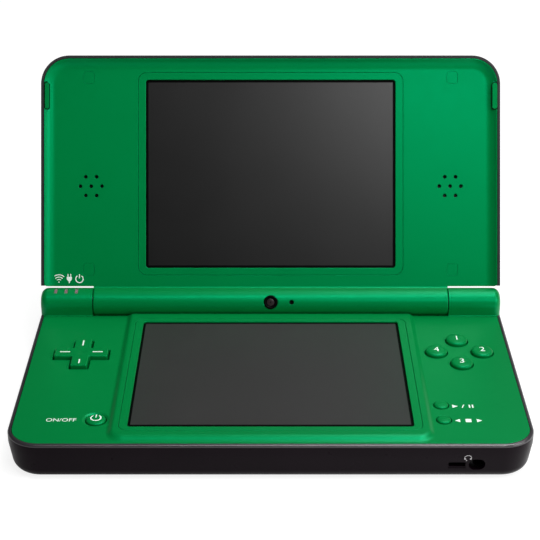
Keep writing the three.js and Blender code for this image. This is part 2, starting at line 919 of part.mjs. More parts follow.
// Domed push cap with a flange that holds it under the deck, drawn from the deck's face.
function pushCap(radius, rise) {
  const flangeTop = -base.deckThickness - clearance;
  const flangeBottom = flangeTop - cap.flangeHeight;
  return turned([
    [0, flangeBottom],
    [radius + cap.flange, flangeBottom],
    [radius + cap.flange, flangeTop],
    [radius, flangeTop],
    [radius, rise - cap.edgeDrop],
    [radius * cap.edgeShare, rise - cap.edgeDrop * (1 - cap.edgeShare)],
    [0, rise],
  ]);
}

function dpadCross() {
  const bottom = -base.deckThickness - dpad.flangeDrop - dpad.flangeHeight;
  const cross = prism(plusOutline(dpad.span, dpad.arm), bottom + dpad.flangeHeight / 2, dpad.rise);
  const flange = bar(0, 0, dpadFlangeRadius, bottom, bottom + dpad.flangeHeight);
  const hollow = turned([
    [0, dpad.rise - dpad.hollowDepth],
    [dpad.hollowRadius, dpad.rise],
    [dpad.hollowRadius, dpad.rise + overrun],
    [0, dpad.rise + overrun],
  ]);
  return cut(cross.add(flange), hollow);
}

function rubberSheet(left, right, front, back, pads, padRadius) {
  const top = boardTop + seam + rubber.thickness;
  const sheet = roundedSlab(left, right, front, back, rubber.margin, boardTop + seam, top);
  return pads.reduce((whole, { x, y }) => (
    whole.add(bar(x, y, padRadius, top - rubber.thickness / 2, top + rubber.pad, smallRoundSteps))
  ), sheet);
}

function shoulderButton(side) {
  const { x, y } = shoulderPinPlace(side);
  const skin = tubSolid.intersect(shoulderBox(side, 0));
  const hollow = pile(tubRings(shoulder.thickness));
  const bottom = shellZ + shoulder.bottom;
  const lug = bar(x, y, shoulder.lugRadius, bottom, shellZ + shoulder.top, smallRoundSteps)
    .intersect(tubSolid);
  const bore = bar(x, y, shoulder.pinRadius + shoulder.pinGap, 0, deckZ, smallRoundSteps);
  return cut(skin, hollow).add(lug).subtract(bore);
}

function volumeButton() {
  const half = { length: volume.length / 2, height: volume.height / 2 };
  const stem = block(
    -halfWidth - volume.standOut + base.lean,
    -halfWidth + volume.inside,
    -half.length,
    half.length,
    -half.height,
    half.height,
  );
  const flange = block(
    -halfWidth + volume.inside,
    -halfWidth + volume.inside + volume.flange,
    -half.length - volume.flange,
    half.length + volume.flange,
    -half.height - volume.flange,
    half.height + volume.flange,
  );
  return stem.add(flange);
}

function lampGuide() {
  const ceiling = axisZ + hinge.barrelRadius - lampRoom.wall - lampRoom.drop;
  const left = firstLampX - lamps.width / 2;
  const y = axisY - lamps.lead;
  const back = y + lamps.length / 2 - seam;
  const front = y - lamps.length / 2 + seam;
  const right = lastLampX + lamps.width / 2;
  const link = block(left + seam, right - seam, front, back, ceiling - lamps.bar, ceiling);
  const middle = (firstLampX + lastLampX) / 2;
  const leg = block(
    middle - lamps.leg / 2,
    middle + lamps.leg / 2,
    front,
    back,
    boardTop + seam,
    ceiling - lamps.bar / 2,
  );
  let guide = link.add(leg);
  const fingerTop = axisZ + hinge.barrelRadius;
  for (let index = 0; index < lamps.count; index++) {
    const x = firstLampX + index * lamps.pitch;
    const half = lamps.width / 2 - seam;
    guide = guide.add(block(x - half, x + half, front, back, ceiling - lamps.bar / 2, fingerTop));
  }
  const outside = crossBar(-halfWidth, halfWidth, axisY, axisZ, hinge.barrelRadius - seam / 2);
  const below = block(-halfWidth, halfWidth, frontY, rearY, 0, axisZ);
  return guide.intersect(outside.add(below));
}

function stylusPen() {
  const bodyEnd = stylus.length - stylus.tipLength;
  const profile = [
    [0, 0],
    [stylus.radius - seam, 0],
    [stylus.radius, seam],
    [stylus.radius, bodyEnd],
    [stylus.tipRadius, stylus.length - stylus.tipRadius],
    [stylus.tipRadius / 2, stylus.length],
    [0, stylus.length],
  ];
  const pen = turned(profile, smallRoundSteps);
  const finger = block(
    -stylus.radius,
    stylus.radius,
    -stylus.radius - overrun,
    -stylus.radius + stylus.gap,
    stylus.head / 2,
    stylus.head,
  );
  return pen.subtract(finger);
}

// Pieces inside the base

function mainBoard() {
  const side = halfWidth - board.margin;
  const front = frontY + board.frontMargin;
  const sheet = block(-side, side, front, deckY(board.rearReach), boardBottom, boardTop);
  const notches = [-1, 1].map((hand) => {
    const inner = shoulderInner - shoulder.lugRadius;
    const [left, right] = hand > 0 ? [inner, halfWidth] : [-halfWidth, -inner];
    return block(left, right, rearY - shoulder.front - shoulder.travelGap * 2, rearY, 0, deckZ);
  });
  const chips = boardChips.map((chip) => block(
    chip.x - chip.width / 2,
    chip.x + chip.width / 2,
    frontY + chip.fromFront - chip.depth / 2,
    frontY + chip.fromFront + chip.depth / 2,
    boardBottom - chip.height,
    boardTop - board.thickness / 2,
  ));
  return cut(joined(sheet, ...chips), ...notches);
}

function coverPlate() {
  let plate = roundedSlab(
    -coverHalfWidth,
    coverHalfWidth,
    coverFrontY,
    coverRearY,
    batteryCover.corner,
    shellZ,
    shellZ + batteryCover.thickness,
  );
  const headTop = shellZ + coverScrew.headHeight + seam;
  const holeTop = shellZ + batteryCover.thickness + overrun;
  for (const x of coverScrewPlaces()) {
    const y = coverScrewY();
    plate = cut(
      plate,
      bar(x, y, coverScrew.headRadius + seam, shellZ - overrun, headTop, smallRoundSteps),
      bar(x, y, coverScrew.shankRadius + seam, shellZ, holeTop, smallRoundSteps),
    );
  }
  return plate;
}

function screwSolid() {
  const screw = turned([
    [0, 0],
    [coverScrew.headRadius, 0],
    [coverScrew.headRadius, coverScrew.headHeight],
    [coverScrew.shankRadius, coverScrew.headHeight],
    [coverScrew.shankRadius, coverScrew.headHeight + coverScrew.shankLength],
    [0, coverScrew.headHeight + coverScrew.shankLength],
  ], smallRoundSteps);
  const half = coverScrew.slot / 2;
  const slots = joined(
    block(-coverScrew.shankRadius, coverScrew.shankRadius, -half, half, -overrun, half),
    block(-half, half, -coverScrew.shankRadius, coverScrew.shankRadius, -overrun, half),
  );
  return screw.subtract(slots);
}

// Flat box with a mouth in one face: a card socket.
function socket(left, right, front, back, bottom, top, mouth) {
  return block(left, right, front, back, bottom, top).subtract(mouth);
}

function gameCardSlot() {
  const bottom = gameSlotBottom;
  const back = rearY - innerInset(bottom) - clearance;
  const top = bottom + gameSlotHeight;
  const mouth = block(
    -gameSlot.openingWidth / 2,
    gameSlot.openingWidth / 2,
    back - gameSlot.depth + gameSlot.wall * 2,
    back + overrun,
    bottom + gameSlot.wall,
    top - gameSlot.wall,
  );
  return socket(-gameSlot.width / 2, gameSlot.width / 2, back - gameSlot.depth, back, bottom, top, mouth);
}

function memoryCardSlot() {
  const right = halfWidth - body.wall - cardDoor.thickness - clearance;
  const half = memorySlot.openingWidth / 2;
  const bottom = memorySlotBottom;
  const top = bottom + memorySlotHeight;
  const mouth = block(
    right - memorySlot.depth + memorySlot.wall * 2,
    right + overrun,
    cardDoorY - half,
    cardDoorY + half,
    bottom + memorySlot.wall,
    top - memorySlot.wall,
  );
  const side = half + memorySlot.wall * 2;
  return socket(right - memorySlot.depth, right, cardDoorY - side, cardDoorY + side, bottom, top, mouth);
}

function headsetJack() {
  const front = frontY + innerInset(jackZ - headset.housingHalfHeight) + clearance;
  const housing = block(
    jackSlotX - headset.housingSide,
    jackX + headset.housingSide,
    front,
    front + headset.housingDepth,
    jackZ - headset.housingHalfHeight,
    jackZ + headset.housingHalfHeight - seam,
  );
  const geometry = new THREE.CylinderGeometry(
    headset.jackRadius,
    headset.jackRadius,
    headset.boreDepth + overrun,
    smallRoundSteps,
  );
  const bore = solid(geometry.translate(jackX, front + (headset.boreDepth - overrun) / 2, jackZ));
  const slot = block(
    jackSlotX - headset.slotWidth / 2 + clearance,
    jackSlotX + headset.slotWidth / 2 - clearance,
    front - overrun,
    front + headset.boreDepth,
    jackZ - headset.slotHeight / 2 + clearance,
    jackZ + headset.slotHeight / 2 - clearance,
  );
  return cut(housing, bore, slot);
}

function chargeSocket() {
  const top = boardBottom - chargePort.drop;
  const bottom = top - chargePort.height;
  const back = rearY - innerInset(bottom) - clearance;
  const left = chargePort.x - chargePort.width / 2;
  const mouth = block(
    chargePort.x - chargePort.opening / 2,
    chargePort.x + chargePort.opening / 2,
    back - chargePort.depth + chargePort.lip,
    back + overrun,
    bottom + (chargePort.height - chargePort.openingHeight) / 2,
    top - (chargePort.height - chargePort.openingHeight) / 2,
  );
  return socket(left, left + chargePort.width, back - chargePort.depth, back, bottom, top, mouth);
}

// Frame round a screen: a ring with a lip over the glass. It faces up or down by the sign of up.
function screenFrame(area, face, up, y = deckY) {
  const back = face - up * (area.frameDepth - clearance);
  const lipBack = face - up * screen.frameLip;
  const [low, high] = [Math.min(face, back), Math.max(face, back)];
  const ring = frameSlab(area, 0, screen.frameCorner, low, high, y);
  const window = screenSlab(area, 0, screen.corner, low - overrun, high + overrun, y);
  const [stepLow, stepHigh] = up > 0 ? [low - overrun, lipBack] : [lipBack, high + overrun];
  const step = screenSlab(area, screen.glassMargin + clearance, screen.corner, stepLow, stepHigh, y);
  return cut(ring, window, step);
}

// Hinge

function hingeCore(left, right, bored) {
  const core = crossBar(left, right, 0, 0, hinge.coreRadius);
  return bored ? core.subtract(crossBar(left - overrun, right + overrun, 0, 0, hinge.sleeveBore)) : core;
}

// Lid, in its own frame: the axis along X through the origin, the free edge towards -Y, shut

function lidY(reach) {
  return -reach;
}

function lidRing(inset, z, nearInset = inset) {
  const outline = roundedOutline(
    -lidHalfWidth + inset,
    lidHalfWidth - inset,
    lidY(lidReach - inset),
    lidY(lid.nearReach + nearInset),
    lid.corner - inset,
    lid.nearCorner - nearInset,
  );
  return { outline, z };
}

function dishRing(share, z) {
  const side = lidHalfWidth - lid.edge - clearance - dish.rimWidth - dish.width * share;
  const end = lidReach - lid.edge - clearance - dish.rimWidth - dish.width * share;
  return { outline: roundedOutline(-side, side, lidY(end), overrun, dish.corner, seam), z };
}

function lidInnerCase() {
  const inset = lid.edge + clearance;
  const plate = pile([lidRing(inset, -lid.rimDrop, 0), lidRing(inset, lid.plateTop, 0)]);
  const middle = -(lid.rimDrop + (lid.floorDrop - lid.rimDrop) * dish.depthShare);
  const scoop = pile([
    dishRing(0, -lid.rimDrop - overrun),
    dishRing(0, -lid.rimDrop),
    dishRing(dish.widthShare, middle),
    dishRing(1, -lid.floorDrop),
  ]);
  const barrel = crossBar(-barrelHalfLength, barrelHalfLength, 0, 0, hinge.barrelRadius);
  const neck = block(
    -barrelHalfLength,
    barrelHalfLength,
    lidY(lid.nearReach + clearance),
    0,
    -lid.floorDrop,
    lid.neckTop,
  );
  const ledgeTop = -lid.floorDrop + upperScreen.frameDepth + upperScreen.ledge;
  const ledge = frameSlab(
    upperArea,
    clearance + lid.skin,
    screen.frameCorner + lid.skin,
    lid.plateTop - overrun / 2,
    ledgeTop,
    lidY,
  );
  let shell = joined(cut(plate, scoop), ledge, barrel, neck);
  shell = cut(
    shell,
    crossBar(-halfWidth, halfWidth, 0, 0, hinge.boreRadius),
    frameSlab(
      upperArea,
      clearance,
      screen.frameCorner + clearance,
      -lid.rimDrop - overrun,
      -lid.floorDrop + upperScreen.frameDepth,
      lidY,
    ),
    screenSlab(upperArea, screen.ledge, screen.corner, -lid.rimDrop, ledgeTop + overrun, lidY),
    bar(0, 0, innerCamera.radius + clearance, -hinge.barrelRadius - overrun, 0, smallRoundSteps),
    bar(microphone.x, 0, microphone.hole, -hinge.barrelRadius - overrun, 0, speaker.holeSides),
  );
  const holeEnd = lid.plateTop + overrun;
  for (const side of [-1, 1]) {
    for (const { x, y } of speakerHoles(side)) {
      shell = shell.subtract(bar(x, y, speaker.hole, -lid.rimDrop, holeEnd, speaker.holeSides));
    }
    shell = shell.subtract(bumperBox(side, clearance));
  }
  for (const { x, y } of screwCoverPlaces()) {
    shell = shell.subtract(screwCoverSlab(clearance).translate([x, y, 0]));
  }
  return shell;
}

function speakerHoles(side) {
  const middle = { x: side * speakerX, y: lidY(speaker.reach) };
  const around = Array.from({ length: speaker.holesAround }, (_, index) => {
    const angle = (index * Math.PI * 2) / speaker.holesAround;
    return {
      x: middle.x + speaker.pitch * Math.cos(angle),
      y: middle.y + speaker.pitch * Math.sin(angle),
    };
  });
  return [middle, ...around];
}

function bumperBox(side, grow) {
  const outer = lidHalfWidth - bumper.fromSide;
  const inner = outer - bumper.width;
  const [left, right] = side > 0 ? [inner, outer] : [-outer, -inner];
  const farReach = lidReach - bumper.fromEnd;
  return block(
    left - grow,
    right + (side > 0 ? clearance : grow),
    lidY(farReach + grow),
    lidY(farReach - bumper.length - grow),
    -lid.rimDrop - (grow > 0 ? overrun : bumper.standOut),
    -lid.rimDrop + bumper.thickness + grow,
  );
}

function screwCoverPlaces() {
  const out = lidHalfWidth - screwCover.fromSide;
  return [-1, 1].flatMap((side) => [
    { name: side < 0 ? 'far_left' : 'far_right', x: side * out, y: lidY(lidReach - screwCover.fromEnd) },
    { name: side < 0 ? 'near_left' : 'near_right', x: side * out, y: lidY(screwCover.nearReach) },
  ]);
}

function screwCoverSlab(grow) {
  const bottom = -lid.floorDrop - (grow > 0 ? overrun : 0);
  return roundedSlab(
    -screwCover.width / 2 - grow,
    screwCover.width / 2 + grow,
    -screwCover.depth / 2 - grow,
    screwCover.depth / 2 + grow,
    screwCover.corner,
    bottom,
    -lid.floorDrop + screwCover.thickness + grow,
  );
}

function lidOuterCase() {
  const nearInset = clearance + seam;
  const rings = [
    lidRing(lid.edgeSoftening, -lid.rimDrop, nearInset),
    lidRing(0, -lid.rimDrop + lid.edgeSoftening, nearInset),
    lidRing(0, lid.outerStraight, nearInset),
  ];
  for (let step = 1; step <= filletSteps; step++) {
    const angle = ((Math.PI / 2) * step) / filletSteps;
    const inset = lid.outerFillet * (1 - Math.cos(angle));
    rings.push(lidRing(inset, lid.outerStraight + lid.outerFillet * Math.sin(angle), nearInset));
  }
  const sideWell = pile([
    lidRing(lid.edge, -lid.rimDrop - overrun, -overrun),
    lidRing(lid.edge, lid.plateTop + clearance, -overrun),
  ]);
  const pocketFloor = lid.top - coverPanel.thickness - clearance;
  const under = pocketFloor - lid.skin;
  const room = pile([
    lidRing(lid.sideWall, lid.plateTop, nearInset + lid.sideWall),
    lidRing(lid.sideWall, lid.outerStraight, nearInset + lid.sideWall),
    lidRing(lid.outerFillet, under, nearInset + lid.sideWall),
  ]);
  const pocket = panelSlab(coverPanel.inset - coverPanel.pocketGap, pocketFloor, lid.top + overrun);
  return cut(pile(rings), sideWell, room, pocket, outerCameraHole());
}

function outerCameraHole() {
  const radius = outerCamera.radius + clearance;
  return bar(outerCameraPlace.x, outerCameraPlace.y, radius, lid.plateTop, lid.top + overrun);
}

function panelSlab(inset, bottom, top) {
  return roundedSlab(
    -lidHalfWidth + inset,
    lidHalfWidth - inset,
    lidY(lidReach - inset),
    lidY(lid.nearReach + inset),
    coverPanel.corner,
    bottom,
    top,
  );
}

function lidCoverPanel() {
  const panel = panelSlab(coverPanel.inset, lid.top - coverPanel.thickness, lid.top);
  return panel.subtract(outerCameraHole());
}

function speakerUnit(side) {
  const x = side * speakerX;
  const y = lidY(speaker.reach);
  const bottom = lid.plateTop + clearance;
  const drum = roundedSlab(
    x - speaker.halfWidth,
    x + speaker.halfWidth,
    y - speaker.halfDepth,
    y + speaker.halfDepth,
    speaker.halfWidth - overrun,
    bottom,
    bottom + speaker.height,
  );
  const cone = turned([
    [0, -overrun],
    [speakerCone.radius, -overrun],
    [speakerCone.radius, 0],
    [0, speakerCone.drop],
  ], smallRoundSteps).translate([x, y, bottom]);
  return drum.subtract(cone);
}

function cameraBarrel(radius, lens, lensDrop, length) {
  return turned([
    [0, 0],
    [radius, 0],
    [radius, length],
    [(radius + lens) / 2, length],
    [lens, length - lensDrop],
    [0, length - lensDrop],
  ], roundSteps);
}

// Assembly

const handheld = new THREE.Group();

function addBase(group) {
  addPiece(group, 'base_bottom_case', baseBottomCase(), finishes.darkShell);
  addPiece(group, 'base_top_case', baseTopCase(), finishes.greenShell);
  addPiece(group, 'battery_cover', coverPlate(), finishes.darkShell);
  coverScrewPlaces().forEach((x, index) => {
    const name = `battery_cover_screw_${index === 0 ? 'left' : 'right'}`;
    addPiece(group, name, screwSolid(), finishes.metal, x, coverScrewY(), shellZ);
  });
  const footNames = ['front_left', 'front_right', 'rear_left', 'rear_right'];
  footPlaces().forEach(({ x, y }, index) => {
    const pad = bar(0, 0, foot.radius, 0, shellZ + foot.recess);
    addPiece(group, `rubber_foot_${footNames[index]}`, pad, finishes.rubber, x, y, 0);
  });
  const cell = roundedSlab(
    -battery.width / 2,
    battery.width / 2,
    batteryFrontY,
    batteryRearY,
    battery.corner,
    batteryBottom,
    batteryBottom + battery.height,
  );
  addPiece(group, 'battery', cell, finishes.cell);
  addPiece(group, 'main_board', mainBoard(), finishes.circuit);
  addPiece(group, 'game_card_slot', gameCardSlot(), finishes.penBody);
  addPiece(group, 'memory_card_slot', memoryCardSlot(), finishes.metal);
  addPiece(group, 'headset_jack', headsetJack(), finishes.penBody);
  addPiece(group, 'charge_port', chargeSocket(), finishes.metal);
}

function addLowerScreen(group) {
  const face = platformZ;
  addPiece(group, 'lower_screen_frame', screenFrame(lowerArea, face, 1), finishes.greenShell);
  const glassTop = face - screen.frameLip - seam;
  const glassBottom = glassTop - lowerScreen.glass;
  const glass = screenSlab(lowerArea, screen.glassMargin, screen.corner, glassBottom, glassTop);
  addPiece(group, 'touch_panel', glass, finishes.blackGlass);
  const moduleTop = deckUnder - lowerScreen.gap;
  const display = screenSlab(
    lowerArea,
    screen.moduleMargin,
    screen.corner,
    moduleTop - lowerScreen.module,
    moduleTop,
  );
  addPiece(group, 'lower_lcd', display, finishes.module);
}

function addControls(group) {
  const dpadY = deckY(dpad.reach);
  addPiece(group, 'dpad', dpadCross(), finishes.greenShell, dpadX, dpadY, deckZ);
  const dome = bar(0, 0, dpad.rubberRadius, 0, dpad.rubberHeight, smallRoundSteps);
  const domeZ = deckUnder - dpad.flangeDrop - dpad.flangeHeight - clearance - dpad.rubberHeight;
  addPiece(group, 'dpad_rubber', dome, finishes.greyRubber, dpadX, dpadY, domeZ);
  const places = actionPlaces();
  for (const { name, x, y } of places) {
    addPiece(group, name, pushCap(action.radius, action.rise), finishes.greenShell, x, y, deckZ);
  }
  const reach = action.pitch + action.radius + rubber.actionMargin;
  const actionY = deckY(action.reach);
  const actionSheet = rubberSheet(
    actionX - reach,
    actionX + reach,
    actionY - reach,
    actionY + reach,
    places,
    action.radius,
  );
  addPiece(group, 'action_button_rubber', actionSheet, finishes.greyRubber);
  const menuPlaces = [
    { name: 'start_button', x: menuX, y: startY },
    { name: 'select_button', x: menuX, y: selectY },
  ];
  for (const { name, x, y } of menuPlaces) {
    addPiece(group, name, pushCap(menu.radius, menu.rise), finishes.greenShell, x, y, deckZ);
  }
  const side = menu.radius + rubber.actionMargin;
  const menuSheet = rubberSheet(
    menuX - side,
    menuX + side,
    selectY - side - rubber.margin,
    startY + side + rubber.margin,
    menuPlaces,
    menu.radius - rubber.pad,
  );
  addPiece(group, 'menu_button_rubber', menuSheet, finishes.greyRubber);
  const powerCap = pushCap(power.radius, power.rise);
  addPiece(group, 'power_button', powerCap, finishes.greenShell, powerX, powerY, deckZ);
  const half = powerSwitch.width / 2;
  const stemTop = powerSwitch.height + powerSwitch.stemHeight;
  const stem = bar(0, 0, powerSwitch.stem, powerSwitch.height / 2, stemTop, smallRoundSteps);
  const tact = block(-half, half, -half, half, 0, powerSwitch.height).add(stem);
  addPiece(group, 'power_switch', tact, finishes.metal, powerX, powerY, boardTop + seam);
  addPiece(group, 'led_light_guide', lampGuide(), finishes.lamp);
}

function addWallControls(group) {
  const volumeZ = shellZ + volume.z;
  const [upY, downY] = volumeYs;
  addPiece(group, 'volume_up_button', volumeButton(), finishes.darkShell, 0, upY, volumeZ);
  addPiece(group, 'volume_down_button', volumeButton(), finishes.darkShell, 0, downY, volumeZ);
  const boardX = -halfWidth + volume.inside + volume.flange + volume.travel + clearance;
  const middle = (upY + downY) / 2;
  const strip = block(
    boardX,
    boardX + volume.boardThickness,
    middle - volume.boardLength / 2,
    middle + volume.boardLength / 2,
    volumeZ - volume.boardHeight + volume.height,
    boardBottom - seam,
  );
  addPiece(group, 'volume_switch_board', strip, finishes.circuit);
  for (const side of [-1, 1]) {
    const hand = side < 0 ? 'left' : 'right';
    const { x, y } = shoulderPinPlace(side);
    addPiece(group, `${hand}_shoulder_button`, shoulderButton(side), finishes.darkShell);
    const pin = bar(0, 0, shoulder.pinRadius, floorZ + seam, shellZ + shoulder.top, smallRoundSteps);
    addPiece(group, `${hand}_shoulder_pin`, pin, finishes.metal, x, y, 0);
  }
  const inside = pile([...tubRings(cardDoor.thickness), baseRing(cardDoor.thickness, deckZ)]);
  addPiece(group, 'memory_card_door', cut(tubSolid.intersect(cardDoorBox(0)), inside), finishes.darkShell);
  const pen = new THREE.Group();
  pen.position.set(halfWidth, stylusY, stylusZ);
  pen.rotation.y = -Math.PI / 2;
  addPiece(pen, 'stylus', stylusPen(), finishes.penBody);
  group.add(pen);
}

function addHinge(baseGroup, lidGroup) {
  const inner = knuckleInner + hinge.coreInKnuckle - hinge.coreLength;
  const outer = knuckleInner + hinge.coreInKnuckle;
  addPiece(baseGroup, 'hinge_sleeve', hingeCore(-outer, -inner, true), finishes.metal, 0, axisY, axisZ);
  addPiece(lidGroup, 'hinge_cartridge', hingeCore(inner, outer, false), finishes.metal);
}

function addLid(group) {
  addPiece(group, 'lid_inner_case', lidInnerCase(), finishes.greenShell);
  addPiece(group, 'lid_outer_case', lidOuterCase(), finishes.darkShell);
  addPiece(group, 'lid_cover_panel', lidCoverPanel(), finishes.greenPanel);
  const face = -lid.floorDrop;
  addPiece(group, 'upper_screen_frame', screenFrame(upperArea, face, -1, lidY), finishes.greenShell);
  const glassFront = face + screen.frameLip + clearance;
  const glass = screenSlab(
    upperArea,
    screen.glassMargin,
    screen.corner,
    glassFront,
    glassFront + upperScreen.glass - seam,
    lidY,
  );
  addPiece(group, 'upper_screen_window', glass, finishes.blackGlass);
  const moduleFront = face + upperScreen.frameDepth + upperScreen.ledge + clearance;
  const display = screenSlab(
    upperArea,
    screen.moduleMargin,
    screen.corner,
    moduleFront,
    moduleFront + upperScreen.module,
    lidY,
  );
  addPiece(group, 'upper_lcd', display, finishes.module);
  for (const side of [-1, 1]) {
    const hand = side < 0 ? 'left' : 'right';
    addPiece(group, `${hand}_speaker`, speakerUnit(side), finishes.module);
    addPiece(group, `lid_bumper_${hand}`, bumperBox(side, 0), finishes.greenShell);
  }
  for (const { name, x, y } of screwCoverPlaces()) {
    addPiece(group, `screw_cover_${name}`, screwCoverSlab(0), finishes.greenShell, x, y, 0);
  }
  const eye = cameraBarrel(
    innerCamera.radius,
    innerCamera.lens,
    innerCamera.lensDrop,
    hinge.barrelRadius - innerCamera.faceDrop - innerCamera.inside,
  ).rotate([180, 0, 0]);
  addPiece(group, 'inner_camera', eye, finishes.penBody, 0, 0, -innerCamera.inside);
  const outerEye = cameraBarrel(
    outerCamera.radius,
    outerCamera.lens,
    outerCamera.lensDrop,
    lid.top - lid.plateTop - outerCamera.foot,
  );
  const { x: outerX, y: outerY } = outerCameraPlace;
  addPiece(group, 'outer_camera', outerEye, finishes.penBody, outerX, outerY, lid.plateTop + outerCamera.foot);
  const capsule = bar(0, 0, microphone.radius, 0, microphone.height, smallRoundSteps);
  const capsuleZ = -Math.sqrt(hinge.boreRadius ** 2 - microphone.radius ** 2) + seam;
  addPiece(group, 'microphone', capsule, finishes.metal, microphone.x, 0, capsuleZ);
}

const lidGroup = new THREE.Group();
lidGroup.position.set(0, axisY, axisZ);
lidGroup.rotation.x = -THREE.MathUtils.degToRad(hinge.openAngle);
handheld.add(lidGroup);

addBase(handheld);
addLowerScreen(handheld);
addControls(handheld);
addWallControls(handheld);
addHinge(handheld, lidGroup);
addLid(lidGroup);

export default handheld;
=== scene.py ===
"""A clamshell handheld game console, dressed over its CAD frame.

Shapes are drawn in millimetres and turned into metres when a piece is finished. The lid's pieces are
drawn as the lid lies shut, with the hinge axis as the X axis and the free edge towards -Y, and are then
turned open. Places come from the CAD nodes, and finer sizes and colours from the settings.
"""

import json
import math

import bmesh
import bpy
from bpy.props import FloatProperty, FloatVectorProperty, PointerProperty
from bpy.types import Operator, Panel, PropertyGroup
from mathutils import Matrix, Vector


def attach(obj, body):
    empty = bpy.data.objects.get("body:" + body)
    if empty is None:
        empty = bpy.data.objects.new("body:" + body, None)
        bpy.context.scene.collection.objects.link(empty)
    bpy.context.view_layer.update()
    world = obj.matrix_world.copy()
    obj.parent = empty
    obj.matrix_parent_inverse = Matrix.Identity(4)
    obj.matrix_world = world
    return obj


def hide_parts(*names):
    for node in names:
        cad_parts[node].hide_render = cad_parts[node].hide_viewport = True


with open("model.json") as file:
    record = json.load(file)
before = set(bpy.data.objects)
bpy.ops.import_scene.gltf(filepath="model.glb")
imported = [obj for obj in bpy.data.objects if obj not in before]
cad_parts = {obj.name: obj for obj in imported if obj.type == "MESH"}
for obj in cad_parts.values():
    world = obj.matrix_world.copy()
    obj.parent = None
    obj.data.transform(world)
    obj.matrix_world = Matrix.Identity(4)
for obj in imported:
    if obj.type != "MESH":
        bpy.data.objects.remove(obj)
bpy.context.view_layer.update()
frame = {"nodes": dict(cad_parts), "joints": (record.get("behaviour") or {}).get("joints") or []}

bl_info = {
    "name": "Clamshell handheld console",
    "version": (1, 0, 0),
    "blender": (4, 5, 0),
    "location": "View3D > Sidebar > Console",
    "description": "Builds the dressed pieces of a clamshell handheld game console over its CAD frame",
    "category": "Add Mesh",
}

MM = 0.001
SOFT_ANGLE = math.radians(38)  # faces that meet at less than this are shaded as one surface
SAME_POINT = 0.0005  # points closer than this are merged
OVERSHOOT = 2.0  # how far a cutter stands out of the surface that it goes through
DECK_PLATE = 1.4  # thickness of the deck
CAVITY_TOP = 12.0  # top of the hollow behind the keys and the door that are cut from the base's outline
PIN_BOSS, PIN_BORE = 1.7, 0.8  # radii round the shoulder buttons' pins
SCREW_BORE = 0.87  # radius of the holes for the battery cover's screws
INNER_EYE, OUTER_EYE, EYE_GAP = 2.35, 3.1, 0.12  # radii of the cameras' housings, and the gap round them
SIGN_DEPTH = 1.0  # thickness of a sign until it is pressed onto its piece
# The brim's finish is glossier than the casing and also painted lighter: a painted highlight along the rim.
SIGN_INDEX, HIGHLIGHT_BRIM_INDEX = 1, 2  # places of the print and the brim among a piece's finishes

SIDES = ("left", "right")
ACTIONS = ("top", "right", "bottom", "left")
MENU_BUTTONS = ("start_button", "select_button")
VOLUME_BUTTONS = ("volume_up_button", "volume_down_button")
FEET = ("front_left", "front_right", "rear_left", "rear_right")
COVERS = ("far_left", "near_left", "far_right", "near_right")

lid_joint = next(joint for joint in frame["joints"] if joint["name"] == "lid_hinge")
AXIS = Vector(lid_joint["pos_m"]) / MM
LID = Matrix.Translation(AXIS) @ Matrix.Rotation(-math.radians(max(lid_joint["range_deg"])), 4, "X")
HOME = Matrix.Identity(4)

# Turns from a cutter or button drawn along +Z to the wall that it goes through
TO_FRONT = Matrix.Rotation(math.radians(90), 4, "X")
TO_BACK = Matrix.Rotation(math.radians(-90), 4, "X")
TO_RIGHT = Matrix.Rotation(math.radians(90), 4, "Y")
TO_LEFT = Matrix.Rotation(math.radians(-90), 4, "Y")
TO_UNDER = Matrix.Rotation(math.radians(180), 4, "X")


# Settings


def length(name, description, millimetres):
    return FloatProperty(
        name=name, description=description, default=millimetres * MM, min=0.0, unit="LENGTH", precision=5
    )


def linear(value):
    """A colour written as a hexadecimal screen value, in the linear values that shaders take."""
    parts = [(value >> shift & 255) / 255 for shift in (16, 8, 0)]
    return tuple(p / 12.92 if p <= 0.04045 else ((p + 0.055) / 1.055) ** 2.4 for p in parts)


def colour(name, description, value):
    return FloatVectorProperty(
        name=name, description=description, default=linear(value), min=0.0, max=1.0, size=3, subtype="COLOR"
    )


